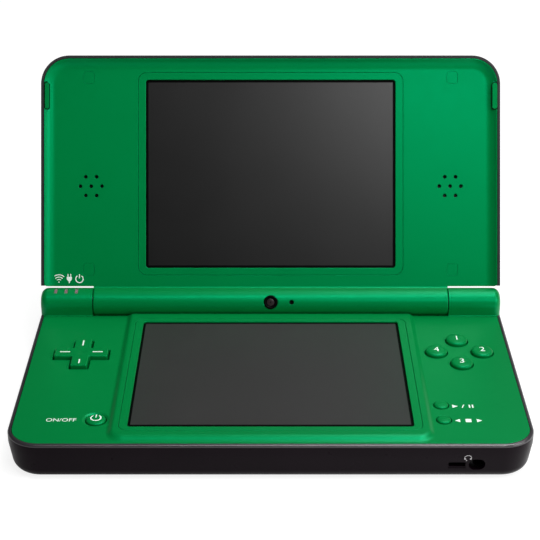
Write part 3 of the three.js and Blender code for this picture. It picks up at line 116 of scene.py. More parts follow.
class ConsoleSizes(PropertyGroup):
    """Sizes of the dressed pieces that the CAD frame leaves open."""

    front_corner: length("Front corner", "Corner radius of the base at the player's side", 10.3)
    rear_corner: length("Rear corner", "Corner radius of the base at the hinge", 2.5)
    wall: length("Wall", "Thickness of the lower casing's wall", 1.5)
    floor_fillet: length("Lower edge", "Rounding of the lower casing's bottom edge", 4.1)
    seam_drop: length("Seam drop", "Widest line of the base below the deck's face", 3.6)
    wall_lean: FloatProperty(
        name="Wall lean", description="Inward lean of the lower casing's wall per height", default=0.15
    )
    rim_width: length("Rim width", "Width of the lower casing's rounded rim", 0.9)
    rim_drop: length("Rim drop", "Height of the lower casing's rounded rim", 0.8)
    land: length("Land", "Flat part of the rim beside the deck plate", 1.15)
    seam: length("Seam", "Gap between two pieces that meet on the outside", 0.1)
    edge: length("Edge", "Rounding of small moulded edges", 0.15)
    slope_side: length("Slope, sides", "Width of the screen platform's slope at the sides", 2.45)
    slope_front: length("Slope, front", "Width of the screen platform's slope at the front", 3.6)
    platform_reach: length("Platform reach", "From the hinge axis to the foot of the platform's front", 85.0)
    platform_half: length("Platform half width", "From the middle to the foot of the platform's side", 50.35)
    platform_corner: length("Platform corner", "Corner radius at the foot of the platform", 5.5)
    barrel: length("Barrel", "Radius of the hinge barrel and knuckles", 5.0)
    barrel_end: length("Barrel end", "Rounding of the barrel's ends", 0.5)
    knuckle_end: length("Knuckle end", "Rounding of the knuckles' outer ends", 2.5)
    trough_gap: length("Trough gap", "Gap between the barrel and its trough", 0.6)
    frame_corner: length("Screen frame corner", "Corner radius of the screen frames", 3.0)
    frame_lip: length("Screen frame lip", "Height of the screen frames over the glass", 0.6)
    glass_margin: length("Glass margin", "Glass hidden under the screen frames", 1.35)
    pad_span: length("Pad span", "Length of the direction pad's arms, tip to tip", 17.7)
    pad_arm: length("Pad arm", "Width of the direction pad's arms", 5.5)
    pad_gap: length("Pad gap", "Gap round the direction pad", 0.6)
    action_radius: length("Action radius", "Radius of the round action buttons", 3.6)
    menu_radius: length("Menu radius", "Radius of the two menu buttons", 2.2)
    power_radius: length("Power radius", "Radius of the power button", 3.05)
    button_gap: length("Button gap", "Gap round the round buttons", 0.3)
    lid_corner: length("Lid corner", "Corner radius of the lid at its free edge", 9.9)
    lid_edge: length("Lid edge", "Width of the outer casing's edge round the inner casing", 0.95)
    lid_fillet: length("Lid fillet", "Rounding of the lid's outer edge", 3.3)
    dish_width: length("Dish width", "Width of the slope round the lid's inner face", 3.9)
    panel_corner: length("Panel corner", "Corner radius of the glossy outer panel", 5.5)
    speaker_pitch: length("Speaker pitch", "Distance between the speaker holes", 3.8)
    speaker_hole: length("Speaker hole", "Radius of the speaker holes", 0.65)
    print_height: length("Print height", "Thickness of the printed signs", 0.02)


class ConsoleColours(PropertyGroup):
    """Colours of the finishes."""

    green: colour("Green casing", "Satin plastic of the inner casings and buttons", 0x007435)
    panel: colour("Green panel", "Glossy plastic of the lid's outer panel", 0x006A36)
    dark: colour("Dark casing", "Plastic of the lower casing", 0x10070E)
    lid_edge: colour("Lid casing", "Plastic of the lid's outer casing", 0x313031)
    # Painted highlight: the brim is painted lighter than the dark casing so that the rim's top shows a bright
    # line.
    brim: colour("Polished brim", "Bright edge of the lower casing", 0x2C292D)
    black: colour("Black plastic", "Sockets, speakers, display modules and the stylus", 0x0C0C0D)
    display: colour("Lower display", "Switched-off display behind the touch panel", 0x252324)
    window: colour("Upper display", "Switched-off display behind the window", 0x030303)
    # Round the lid's bumpers this black stands for shade: a painted shadow in the gap round each pad.
    border: colour("Glass border", "Black print round displays, camera housings and bumper beds", 0x020202)
    lens: colour("Camera lens", "Lenses of the two cameras", 0x2C2727)
    sign: colour("Signs", "Printed signs", 0xE4F2EA)
    dim_sign: colour("Wall sign", "Printed sign on the front wall", 0xB9B7B8)
    lamp: colour("Lamp windows", "Clear light guide of the three lamps", 0x7A676B)
    rubber: colour("Rubber", "Feet", 0x202022)
    silicone: colour("Silicone", "Button mats", 0x8D9094)
    board: colour("Circuit board", "Solder mask of the boards", 0x14532D)
    metal: colour("Metal", "Screws, pins, metal sockets and the hinge", 0xB8BABD)
    cell: colour("Battery", "Sleeve of the battery", 0x3F4247)
    floor: colour("Floor", "Studio floor", 0xF2F2F2)


class ConsoleStudio(PropertyGroup):
    """Lamps, surroundings and the camera."""

    key_power: FloatProperty(name="Key lamp", description="Power of the lamp beside the camera", default=0.48)
    side_power: FloatProperty(name="Side lamp", description="Power of the lamp at the right", default=1.85)
    top_power: FloatProperty(name="Top lamp", description="Power of the strip lamp overhead", default=3.2)
    rear_power: FloatProperty(name="Rear lamp", description="Power of the lamp above the lid", default=3.0)
    surround: FloatProperty(name="Surroundings", description="Light from the room", default=0.12)
    lens: FloatProperty(name="Lens", description="Focal length in millimetres", default=96.67)
    tilt: FloatProperty(
        name="Tilt",
        description="Camera's turn from straight down",
        default=math.radians(63.353),
        unit="ROTATION",
    )


def mm(value):
    return value / MM


def place(node, turn=HOME):
    """Lowest and highest corners of a CAD node in millimetres, seen from the lid where its turn is given."""
    back = turn.inverted()
    points = [back @ (vertex.co / MM) for vertex in frame["nodes"][node].data.vertices]
    low = Vector([min(axis) for axis in zip(*points)])
    high = Vector([max(axis) for axis in zip(*points)])
    return low, high


def middle(node, turn=HOME):
    low, high = place(node, turn)
    return (low + high) / 2


def around(low, high, gap=0.0):
    """Left, right, front and back of a box, drawn out by a gap."""
    return low.x - gap, high.x + gap, low.y - gap, high.y + gap


# Shapes


def tidy(shape):
    """Merges doubled points and turns every face outwards."""
    bmesh.ops.remove_doubles(shape, verts=shape.verts, dist=SAME_POINT)
    bmesh.ops.recalc_face_normals(shape, faces=shape.faces)
    return shape


def moved(shape, x=0.0, y=0.0, z=0.0, turn=HOME):
    """Turns a shape and then shifts it."""
    bmesh.ops.transform(shape, matrix=Matrix.Translation((x, y, z)) @ turn, verts=shape.verts)
    return shape


def extrude(shape, face, way):
    made = bmesh.ops.extrude_face_region(shape, geom=[face])
    fresh = [part for part in made["geom"] if isinstance(part, bmesh.types.BMVert)]
    bmesh.ops.translate(shape, vec=way, verts=fresh)
    return tidy(shape)


def round_corners(shape, points, radius, steps):
    """Rounds corners of a flat face."""
    bmesh.ops.bevel(
        shape,
        geom=points,
        offset=radius,
        offset_type="OFFSET",
        segments=steps,
        profile=0.5,
        affect="VERTICES",
        material=-1,
    )


def slab(left, right, front, back, bottom, top, corner=0.0, back_corner=None, steps=10):
    """A flat block whose upright edges are round, with a radius of their own at the back."""
    shape = bmesh.new()
    halfway = (front + back) / 2
    points = bmesh.ops.create_grid(shape, x_segments=1, y_segments=1, size=0.5)["verts"]
    bmesh.ops.scale(shape, vec=(right - left, back - front, 1), verts=points)
    bmesh.ops.translate(shape, vec=((left + right) / 2, halfway, bottom), verts=points)
    near = [point for point in points if point.co.y < halfway]
    far = [point for point in points if point.co.y > halfway]
    for corners, radius in ((near, corner), (far, corner if back_corner is None else back_corner)):
        if radius > 0:
            round_corners(shape, corners, radius, steps)
    return extrude(shape, shape.faces[:][-1], (0, 0, top - bottom))


def plus_slab(span, arm, bottom, top, corner, steps=3):
    """A plus with round corners."""
    shape = bmesh.new()
    far, side = span / 2, arm / 2
    corners = [(side, side), (side, far), (-side, far)]
    for _ in range(3):
        corners += [(-y, x) for x, y in corners[-3:]]
    face = shape.faces.new([shape.verts.new((x, y, bottom)) for x, y in corners])
    round_corners(shape, face.verts[:], corner, steps)
    return extrude(shape, shape.faces[:][-1], (0, 0, top - bottom))


def end_face(shape, up=True):
    """The shape's highest or lowest face."""
    sign = 1 if up else -1
    return max(shape.faces, key=lambda face: (round(sign * face.calc_center_median().z, 5), face.calc_area()))


def climb(shape, steps, up=True, corners=()):
    """Carries the highest or lowest face on through (inset, rise) steps.

    A pair (side, radius) in corners names a corner that the insets use up: side is 1 for the two at +Y and
    -1 for the two at -Y. Its points are gathered into one just before the radius is gone.
    """

    def step(inset, rise):
        bmesh.ops.inset_region(
            shape, faces=[end_face(shape, up)], thickness=inset, depth=rise, use_even_offset=True
        )

    used, nearly, close = 0.0, 0.97, 0.12  # the last two are shares of a corner's radius
    left_over = sorted((radius * nearly, side) for side, radius in corners)
    for inset, rise in steps:
        goal = used + inset
        while left_over and used < left_over[0][0] <= goal:
            limit, side = left_over.pop(0)
            share = (limit - used) / (goal - used)
            step(limit - used, rise * share)
            rise *= 1 - share
            used = limit
            gather_corner(shape, up, side, limit * close)
        step(goal - used, rise)
        used = goal
    return shape


def gather_corner(shape, up, side, reach):
    """Merges the points of two used-up corners of the end face, and squares them off."""
    places = [point.co.copy() for point in end_face(shape, up).verts]
    xs = [spot.x for spot in places]
    edge = max(side * spot.y for spot in places) * side
    for x in (min(xs), max(xs)):
        corner = Vector((x, edge, places[0].z))
        points = [point for point in end_face(shape, up).verts if (point.co - corner).length < reach]
        bmesh.ops.pointmerge(shape, verts=points, merge_co=corner)


def strides(points):
    """(inset, rise) steps from each point to the next."""
    return [(b[0] - a[0], b[1] - a[1]) for a, b in zip(points, points[1:])]


def rounding(width, height=None, steps=3):
    """(inset, rise) steps of a quarter round that starts upright."""
    height = width if height is None else height
    turns = [math.pi / 2 * i / steps for i in range(steps + 1)]
    return [
        (width * (math.cos(a) - math.cos(b)), height * (math.sin(b) - math.sin(a)))
        for a, b in zip(turns, turns[1:])
    ]


def flaring(radius):
    """(inset, rise) steps of a cutter that leaves a rounded edge round its hole."""
    return rounding(-radius, radius)


def plate(sides, bottom, top, corner, edge, up=True, steps=10, turns=3):
    """A slab whose upper or lower edge is rounded; sides are its left, right, front and back."""
    straight = (bottom, top - edge) if up else (bottom + edge, top)
    return climb(slab(*sides, *straight, corner, steps=steps), rounding(edge, steps=turns), up=up)


def port(width, depth, corner, down, flare=0.0, over=OVERSHOOT, steps=6):
    """Cutter for a hole with round corners, drawn along Z with the surface at zero."""
    shape = slab(-width / 2, width / 2, -depth / 2, depth / 2, -down, -flare, corner, steps=steps)
    if flare > 0:
        climb(shape, flaring(flare))
    return climb(shape, [(0.0, over)])


def box_port(low, high, gap, corner, down, flare, z, turn=HOME, steps=6):
    """Cutter for a hole in a surface at z that holds a box, with a gap on every side."""
    width, depth = high.x - low.x + gap * 2, high.y - low.y + gap * 2
    spot = (low + high) / 2
    return moved(port(width, depth, corner, down, flare, steps=steps), spot.x, spot.y, z, turn)


def arc(radius, height, size, start, end, steps):
    """Points of an arc in a turned profile, about (radius, height), from one angle to another in degrees."""
    turns = [math.radians(start + (end - start) * i / steps) for i in range(steps + 1)]
    return [(radius + size * math.cos(a), height + size * math.sin(a)) for a in turns]


def lathe(profile, steps=64):
    """Turned shape round Z from (radius, height) pairs that start and end on the axis."""
    shape = bmesh.new()
    points = [shape.verts.new((radius, 0.0, height)) for radius, height in profile]
    edges = [shape.edges.new(pair) for pair in zip(points, points[1:])]
    bmesh.ops.spin(
        shape,
        geom=points + edges,
        axis=(0, 0, 1),
        cent=(0, 0, 0),
        angle=math.tau,
        steps=steps,
        use_merge=True,
    )
    return tidy(shape)


def round_port(radius, down, flare=0.0, steps=48):
    """Cutter for a round hole, drawn along Z with the surface at zero."""
    lip = arc(radius + flare, -flare, flare, 180, 90, 4) if flare > 0 else [(radius, 0.0)]
    return lathe([(0, -down), (radius, -down), *lip, (radius + flare, OVERSHOOT), (0, OVERSHOOT)], steps)


def rod(radius, bottom, top, edge=0.0, steps=48):
    """Round bar along Z with rounded ends."""
    side = [(radius, bottom), (radius, top)]
    if edge > 0:
        low = arc(radius - edge, bottom + edge, edge, -90, 0, 4)
        side = low + arc(radius - edge, top - edge, edge, 0, 90, 4)
    return lathe([(0, bottom), *side, (0, top)], steps)


def axle(radius, half, steps=128):
    """Round bar along the hinge axis, as far to the left as to the right."""
    return moved(rod(radius, -half, half, steps=steps), y=AXIS.y, z=AXIS.z, turn=TO_RIGHT)


def prism(outline, way):
    """Solid from the corners of one flat face, carried along a vector."""
    shape = bmesh.new()
    face = shape.faces.new([shape.verts.new(corner) for corner in outline])
    return extrude(shape, face, way)


def solid(name, shape):
    """Turns a shape into an object, still in millimetres."""
    mesh = bpy.data.meshes.new(name)
    shape.to_mesh(mesh)
    shape.free()
    piece = bpy.data.objects.new(name, mesh)
    bpy.context.scene.collection.objects.link(piece)
    return piece


def settle(piece):
    """Makes a piece's modifiers part of its mesh, without the empty slot that a Boolean leaves."""
    depsgraph = bpy.context.evaluated_depsgraph_get()
    mesh = bpy.data.meshes.new_from_object(
        piece.evaluated_get(depsgraph), preserve_all_data_layers=True, depsgraph=depsgraph
    )
    mesh.materials.clear()
    old = piece.data
    piece.modifiers.clear()
    piece.data = mesh
    bpy.data.meshes.remove(old)
    return piece


def discard(piece):
    mesh = piece.data
    bpy.data.objects.remove(piece)
    bpy.data.meshes.remove(mesh)


def combine(piece, shapes, operation, solver="MANIFOLD"):
    others = [solid("tool", shape) for shape in shapes]
    for other in others:
        step = piece.modifiers.new(operation.title(), "BOOLEAN")
        step.operation = operation
        step.solver = solver
        step.object = other
    settle(piece)
    for other in others:
        discard(other)
    if not piece.data.polygons:
        raise RuntimeError(f"{piece.name} lost its faces in a {operation.lower()} step")
    return piece


def carve(piece, *shapes):
    return combine(piece, shapes, "DIFFERENCE")


def weld(piece, *shapes):
    return combine(piece, shapes, "UNION")


def keep(piece, *shapes):
    return combine(piece, shapes, "INTERSECT")


def copy_shape(piece):
    shape = bmesh.new()
    shape.from_mesh(piece.data)
    return shape


def take_shape(piece):
    """The shape of a piece that has done its work."""
    shape = copy_shape(piece)
    discard(piece)
    return shape


def soften(piece, width):
    """Rounds a piece's sharp edges."""
    step = piece.modifiers.new("Edge rounding", "BEVEL")
    step.width = width
    step.segments = 2
    step.limit_method = "ANGLE"
    step.angle_limit = math.radians(50)
    step.harden_normals = False
    return settle(piece)


def add_part(piece, shape, index):
    """Joins a shape to a piece as a second shell with its own material index."""
    whole = copy_shape(piece)
    shape.normal_update()
    extra = bpy.data.meshes.new("part")
    shape.to_mesh(extra)
    shape.free()
    before = len(whole.faces)
    whole.from_mesh(extra)
    whole.faces.ensure_lookup_table()
    for face in whole.faces[before:]:
        face.material_index = index
    whole.to_mesh(piece.data)
    whole.free()
    bpy.data.meshes.remove(extra)
    return piece


def dress(piece, names, body, stands_for, turn=HOME):
    """Gives a piece its place in metres, its shading, its finishes and its body."""
    mesh = piece.data
    mesh.transform(Matrix.Scale(MM, 4) @ turn)
    mesh.polygons.foreach_set("use_smooth", [True] * len(mesh.polygons))
    mesh.set_sharp_from_angle(angle=SOFT_ANGLE)
    for name in names:
        mesh.materials.append(finishes[name])
    even = piece.modifiers.new("Even shading", "WEIGHTED_NORMAL")
    even.keep_sharp = True
    even.weight = 100
    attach(piece, body)
    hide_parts(*stands_for)
    return piece


# Finishes


def add_node(tree, kind, links=(), **values):
    """A node with its properties set, and its sockets linked to an output or given a value."""
    made = tree.nodes.new(kind)
    for key, value in values.items():
        setattr(made, key, value)
    for socket, source in dict(links).items():
        if isinstance(source, bpy.types.NodeSocket):
            tree.links.new(source, made.inputs[socket])
        else:
            made.inputs[socket].default_value = source
    return made


def limits(start, end, low, high):
    """Sockets of a node that turns values from start to end into values from low to high."""
    return {"From Min": start, "From Max": end, "To Min": low, "To Max": high}


class Finish:
    """A procedural material under construction."""

    def __init__(self, name, base, roughness, sockets):
        self.material = bpy.data.materials.new(name)
        self.material.use_nodes = True
        self.tree = self.material.node_tree
        self.shader = self.tree.nodes["Principled BSDF"]
        uniform = {"Base Color": (*base, 1.0), "Roughness": roughness, **sockets}
        for socket, value in uniform.items():
            self.shader.inputs[socket].default_value = value
        self.base = base
        self.place = self.node("ShaderNodeTexCoord").outputs["Object"]

    def node(self, kind, links=(), **values):
        return add_node(self.tree, kind, links, **values)

    def feed(self, socket, source):
        self.tree.links.new(source, self.shader.inputs[socket])
        return self

    def noise(self, scale, detail=2.0, stretch=None):
        where = self.place
        if stretch:
            where = self.node("ShaderNodeMapping", {"Vector": where, "Scale": stretch}).outputs["Vector"]
        links = {"Vector": where, "Scale": scale, "Detail": detail}
        return self.node("ShaderNodeTexNoise", links).outputs["Fac"]

    def ranged(self, source, low, high):
        """Spreads a noise, whose values lie mostly between 0.3 and 0.7, from low to high."""
        links = {"Value": source, **limits(0.3, 0.7, low, high)}
        return self.node("ShaderNodeMapRange", links).outputs["Result"]

    def blend(self, factor, first, second):
        """Colour between two others. The sockets of a colour mix are 0, 6 and 7, and its output is 2."""
        links = {0: factor, 6: (*first, 1.0), 7: (*second, 1.0)}
        return self.feed("Base Color", self.node("ShaderNodeMix", links, data_type="RGBA").outputs[2])

    def mottle(self, amount, scale):
        """Slow drift of the colour, as in a moulded pigment."""
        darker = [value * (1 - amount) for value in self.base]
        lighter = [min(value * (1 + amount), 1.0) for value in self.base]
        return self.blend(self.ranged(self.noise(scale), 0.0, 1.0), darker, lighter)

    def sheen_drift(self, low, high, scale):
        """Roughness that drifts between two values."""
        return self.feed("Roughness", self.ranged(self.noise(scale, 3.0), low, high))

    def relief(self, height, depth, strength=1.0):
        """Bumps, depth in millimetres."""
        links = {"Height": height, "Strength": strength, "Distance": depth * MM}
        return self.feed("Normal", self.node("ShaderNodeBump", links).outputs["Normal"])

    def grain(self, scale, depth, stretch=None):
        """Fine relief of the mould's surface."""
        return self.relief(self.noise(scale, stretch=stretch), depth)


def gloss(level, **sockets):
    """The shader's sockets for a specular level, and others whose names take an underscore for a space."""
    return {"Specular IOR Level": level, **{name.replace("_", " "): value for name, value in sockets.items()}}


TEAL = (0.0, 1.0, 0.48, 1.0)
WHITE = (1, 1, 1, 1)

# By the finish's key: material, colour, roughness, mottle (amount, scale), sheen (low, high, scale), grain
# (scale, depth and, where it runs one way, stretch) and other sockets
FINISHES = {
    "green": ("green casing", "green", 0.37, (0.02, 40), (0.35, 0.39, 300), (9000, 0.003),
              gloss(0.85, Specular_Tint=TEAL)),
    "keys": ("green buttons", "green", 0.38, (0.02, 120), (0.36, 0.4, 500), (9000, 0.0015),
             gloss(0.7, Specular_Tint=TEAL)),
    "panel": ("green gloss panel", "panel", 0.22, (0.04, 30), (0.18, 0.26, 200), (2500, 0.002),
              gloss(0.3, Coat_Weight=0.2, Coat_Roughness=0.06)),
    "dark": ("dark casing", "dark", 0.3, (0.12, 60), (0.27, 0.33, 260), (8000, 0.003), gloss(0.08)),
    # The brim is glossier than the dark casing, and its lighter colour is a painted highlight.
    "brim": ("polished brim", "brim", 0.33, (0.12, 60), (0.3, 0.36, 260), (8000, 0.002), gloss(0.8)),
    "lid edge": ("lid casing", "lid_edge", 0.35, (0.08, 60), (0.31, 0.39, 260), (8000, 0.003), gloss(0.06)),
    "black": ("black plastic", "black", 0.35, (0.15, 150), (0.3, 0.42, 400), (7000, 0.003), gloss(0.15)),
    "lens": ("camera lens", "lens", 0.2, (0.1, 900), (0.17, 0.23, 900), (6000, 0.0005), gloss(0.2)),
    "border": ("glass border", "border", 0.5, (0.2, 80), (0.47, 0.53, 120), (3000, 0.0006), gloss(0.05)),
    "display": ("display", "display", 0.5, (0.02, 30), (0.48, 0.52, 60), (9000, 0.0015), gloss(0.5)),
    "window": ("upper window", "window", 0.34, (0.03, 30), (0.33, 0.35, 60), (9000, 0.0006), gloss(0.6)),
    "sign": ("sign print", "sign", 0.5, (0.03, 400), (0.45, 0.6, 900), (9000, 0.003), gloss(0.3)),
    "dim sign": ("wall sign print", "dim_sign", 0.55, (0.04, 400), (0.5, 0.65, 900), (9000, 0.003),
                 gloss(0.3)),
    "lamp": ("light guide", "lamp", 0.25, (0.08, 700), (0.2, 0.32, 900), (5000, 0.002),
             {"Subsurface Weight": 0.3, "Subsurface Radius": (0.0008, 0.0006, 0.0006)}),
    "rubber": ("rubber", "rubber", 0.8, (0.12, 300), (0.72, 0.88, 600), (5000, 0.02), gloss(0.25)),
    "bumper": ("green bumper", "green", 0.55, (0.05, 200), (0.5, 0.62, 500), (6000, 0.008),
               gloss(0.35, Specular_Tint=TEAL)),
    "silicone": ("silicone", "silicone", 0.6, (0.05, 250), (0.52, 0.68, 500), (4000, 0.008),
                 {"Subsurface Weight": 0.2, "Subsurface Radius": (0.001, 0.001, 0.001)}),
    "metal": ("bare metal", "metal", 0.3, (0.08, 400), (0.24, 0.4, 900), (1500, 0.003, (1, 30, 30)),
              {"Metallic": 1.0}),
    "cell": ("battery sleeve", "cell", 0.5, (0.06, 150), (0.42, 0.58, 300), (3000, 0.006, (12, 1, 1)),
             gloss(0.35)),
}

finishes = {}


def make_finishes(colours):
    for key, (name, shade, roughness, mottle, sheen, grain, sockets) in FINISHES.items():
        finish = Finish(name, getattr(colours, shade), roughness, sockets)
        finishes[key] = finish.mottle(*mottle).sheen_drift(*sheen).grain(*grain).material
    finishes["board"] = board_finish(colours)


def board_finish(colours):
    """Solder mask over copper tracks that run in steps across the board."""
    board = Finish("circuit board", colours.board, 0.45, {})
    tracks = board.node(
        "ShaderNodeTexBrick",
        {"Vector": board.place, "Scale": 260.0, "Mortar Size": 0.06, "Brick Width": 1.7, "Row Height": 0.35},
        offset=0.37,
        squash=0.6,
    ).outputs["Fac"]
    lighter = [value * 2.1 + 0.01 for value in colours.board]
    board.blend(tracks, colours.board, lighter).sheen_drift(0.36, 0.52, 400).relief(tracks, 0.03, 0.6)
    return board.material


def paint(finish, *nodes):
    """Gives CAD nodes that stay as they are a finish."""
    for node in nodes:
        for slot in frame["nodes"][node].material_slots:
            slot.material = finishes[finish]


# Outlines shared by several pieces


def base_slab(size, inset, bottom, top, steps=14):
    """The base's outline, drawn in, as a plain slab."""
    sides = around(*place("base_bottom_case"), -inset)
    return slab(*sides, bottom, top, mm(size.front_corner) - inset, mm(size.rear_corner) - inset, steps)


def base_shape(size, depth=0.0, top=None, steps=14):
    """The lower casing's outside, or with a depth its inside up to a given top, as a closed shape."""
    outside = top is None
    low, high = place("base_bottom_case")
    seam_z = high.z - mm(size.seam_drop)
    fillet = mm(size.floor_fillet)
    fillet_z = low.z + fillet
    lean = math.atan(size.wall_lean)
    far_inset = size.wall_lean * (seam_z - fillet_z) + fillet / math.cos(lean)
    radius = fillet - depth
    rim_width, rim_height = mm(size.rim_width), mm(size.rim_drop)
    shape = base_slab(size, depth, seam_z, high.z - rim_height if outside else top, steps)
    count = 10 if outside else 5
    outline = [(depth, -seam_z)]
    for i in range(count + 1):
        angle = lean + (math.pi / 2 - lean) * i / count
        outline.append((far_inset - radius * math.cos(angle), -(fillet_z - radius * math.sin(angle))))
    corners = [(1, mm(size.rear_corner) - depth), (-1, mm(size.front_corner) - depth)]
    climb(shape, strides(outline), up=False, corners=corners)
    if outside:
        climb(shape, rounding(rim_width, rim_height, 6))
    return tidy(shape)


def deck_height():
    return place("base_bottom_case")[1].z


def trough_half():
    """From the middle to the end of the trough between the knuckles."""
    return place("hinge_cartridge", LID)[1].x - 4.3


def trough_radius(size):
    return mm(size.barrel) + mm(size.trough_gap)


def lamp_blocks(half_width, half_depth, bottom, top, corner):
    """A block at each of the three lamp windows."""
    low, high = place("led_light_guide")
    y = (low.y + high.y) / 2
    places = [low.x + 0.5 + (high.x - low.x - 1.0) * i / 2 for i in range(3)]
    return [
        slab(x - half_width, x + half_width, y - half_depth, y + half_depth, bottom, top, corner, steps=3)
        for x in places
    ]


def at_reach(reach):
    """Y of a place on the deck by its distance from the hinge axis."""
    return AXIS.y - reach


def button_place(node):
    spot = middle(node)
    return spot.x, spot.y


# Signs


def lettering(text, height, wide=1.0):
    """Plain figures or letters as a closed shape, centred, that fills the given height."""
    curve = bpy.data.curves.new("lettering", "FONT")
    curve.body = text
    curve.extrude = SIGN_DEPTH / 2
    curve.resolution_u = 4
    holder = bpy.data.objects.new("lettering", curve)
    bpy.context.scene.collection.objects.link(holder)
    depsgraph = bpy.context.evaluated_depsgraph_get()
    mesh = bpy.data.meshes.new_from_object(holder.evaluated_get(depsgraph), depsgraph=depsgraph)
    shape = bmesh.new()
    shape.from_mesh(mesh)
    bpy.data.objects.remove(holder)
    bpy.data.curves.remove(curve)
    bpy.data.meshes.remove(mesh)
    tidy(shape)
    xs = [point.co.x for point in shape.verts]
    ys = [point.co.y for point in shape.verts]
    size = height / (max(ys) - min(ys))
    centre = Vector(((min(xs) + max(xs)) / 2, (min(ys) + max(ys)) / 2, 0))
    bmesh.ops.translate(shape, vec=-centre, verts=shape.verts)
    bmesh.ops.scale(shape, vec=(size * wide, size, 1), verts=shape.verts)
    return shape


def ring_part(radius, width, start, end):
    """A flat bent bar: part of a ring about the origin, from one angle to another in degrees."""
    shape = bmesh.new()
    inner, outer, half = radius - width / 2, radius + width / 2, SIGN_DEPTH / 2
    corners = [(inner, 0, -half), (outer, 0, -half), (outer, 0, half), (inner, 0, half)]
    face = shape.faces.new([shape.verts.new(corner) for corner in corners])
    bmesh.ops.transform(shape, matrix=Matrix.Rotation(math.radians(start), 4, "Z"), verts=shape.verts)
    bmesh.ops.spin(
        shape,
        geom=[face, *face.edges, *face.verts],
        cent=(0, 0, 0),
        axis=(0, 0, 1),
        angle=math.radians(end - start),
        steps=24,
    )
    return tidy(shape)


def dot_part(radius, x, y, steps=20):
    return moved(rod(radius, -SIGN_DEPTH / 2, SIGN_DEPTH / 2, steps=steps), x, y)


def bar_part(left, right, front, back, corner=0.0):
    return slab(left, right, front, back, -SIGN_DEPTH / 2, SIGN_DEPTH / 2, corner, steps=4)


def flat_part(outline):
    return prism([(x, y, -SIGN_DEPTH / 2) for x, y in outline], (0, 0, SIGN_DEPTH))


def sign_shape(parts):
    """Joins the parts of a sign into one shape."""
    return take_shape(weld(solid("sign", parts[0]), *parts[1:]))


def power_sign(size):
    """A ring, open at the top, with an upright bar in the gap."""
    radius, width = size / 2, size * 0.115
    return sign_shape([
        ring_part(radius - width / 2, width, 124, 416),
        bar_part(-width / 2, width / 2, radius * 0.12, radius * 1.15, width * 0.3),
    ])


def waves_sign(size):
    """Three arcs over a dot."""
    foot, width = -size * 0.36, size * 0.085
    arcs = [moved(ring_part(size * share, width, 45, 135), y=foot) for share in (0.3, 0.55, 0.8)]
    return sign_shape([dot_part(size * 0.07, 0, foot), *arcs])


def plug_sign(s):
    """A plug with two prongs and a short lead."""
    body = [(-0.26, 0.16), (-0.26, -0.1), (-0.1, -0.3), (0.1, -0.3), (0.26, -0.1), (0.26, 0.16)]
    return sign_shape([
        flat_part([(x * s, y * s) for x, y in body]),
        bar_part(-0.19 * s, -0.09 * s, 0.1 * s, 0.46 * s, 0.04 * s),
        bar_part(0.09 * s, 0.19 * s, 0.1 * s, 0.46 * s, 0.04 * s),
        bar_part(-0.06 * s, 0.06 * s, -0.48 * s, -0.25 * s, 0.03 * s),
    ])


def headset_sign(s):
    """A bow with two cups and a small mouthpiece."""
    return sign_shape([
        moved(ring_part(0.44 * s, 0.09 * s, -14, 194), y=-0.06 * s),
        dot_part(0.13 * s, -0.36 * s, -0.2 * s),
        dot_part(0.13 * s, 0.36 * s, -0.2 * s),
        dot_part(0.08 * s, -0.17 * s, -0.46 * s, steps=16),
    ])


def play_pause_sign(width, height):
    """A triangle, a slanting stroke and two bars."""
    half, right = height / 2, width / 2
    left, bar, lean = -right, height * 0.25, height * 0.2
    return sign_shape([
        flat_part([(left, -half), (left + height * 0.95, 0), (left, half)]),
        flat_part([(-lean - 0.12, -half), (-lean + 0.22, -half), (lean + 0.22, half), (lean - 0.12, half)]),
        bar_part(right - bar, right, -half, half),
        bar_part(right - bar * 3.2, right - bar * 2.2, -half, half),
    ])


def chooser_sign(width, height):
    """A square between two arrow heads."""
    half, right, tip = height / 2, width / 2, height * 0.9
    return sign_shape([
        flat_part([(-right, 0), (-right + tip, -half), (-right + tip, half)]),
        flat_part([(right, 0), (right - tip, half), (right - tip, -half)]),
        bar_part(-half, half, -half, half, half * 0.2),
    ])


def print_height():
    return mm(bpy.context.scene.console_sizes.print_height)


def flat_print(piece, sign, x, y, z, turn=HOME):
    """Lays a sign on a flat face, pressed and half sunk, so that it stands out by the print's height."""
    bmesh.ops.scale(sign, vec=(1, 1, print_height() * 2 / SIGN_DEPTH), verts=sign.verts)
    return add_part(piece, moved(sign, x, y, z, turn), SIGN_INDEX)


def raised_print(piece, shape, x, y):
    """Wraps a sign over a domed key: what a slightly raised copy of the key shares with the sign."""
    cap = copy_shape(piece)
    sign = solid("sign", moved(shape, x, y, 0))
    low = min(vertex.co.z for vertex in sign.data.vertices)
    high = max(vertex.co.z for vertex in sign.data.vertices)
    top = max(vertex.co.z for vertex in piece.data.vertices)
    tall = 3.0
    stretch = Matrix.Translation((0, 0, top)) @ Matrix.Scale(tall / (high - low), 4, (0, 0, 1))
    sign.data.transform(stretch)
    bmesh.ops.translate(cap, vec=(0, 0, print_height()), verts=cap.verts)
    combine(sign, [cap], "INTERSECT", solver="EXACT")
    return add_part(piece, take_shape(sign), SIGN_INDEX)


# Pieces


class ConsoleOperator:
    """What every piece's operator shares."""

    bl_options = {"REGISTER", "UNDO"}

    @property
    def sizes(self):
        return bpy.context.scene.console_sizes


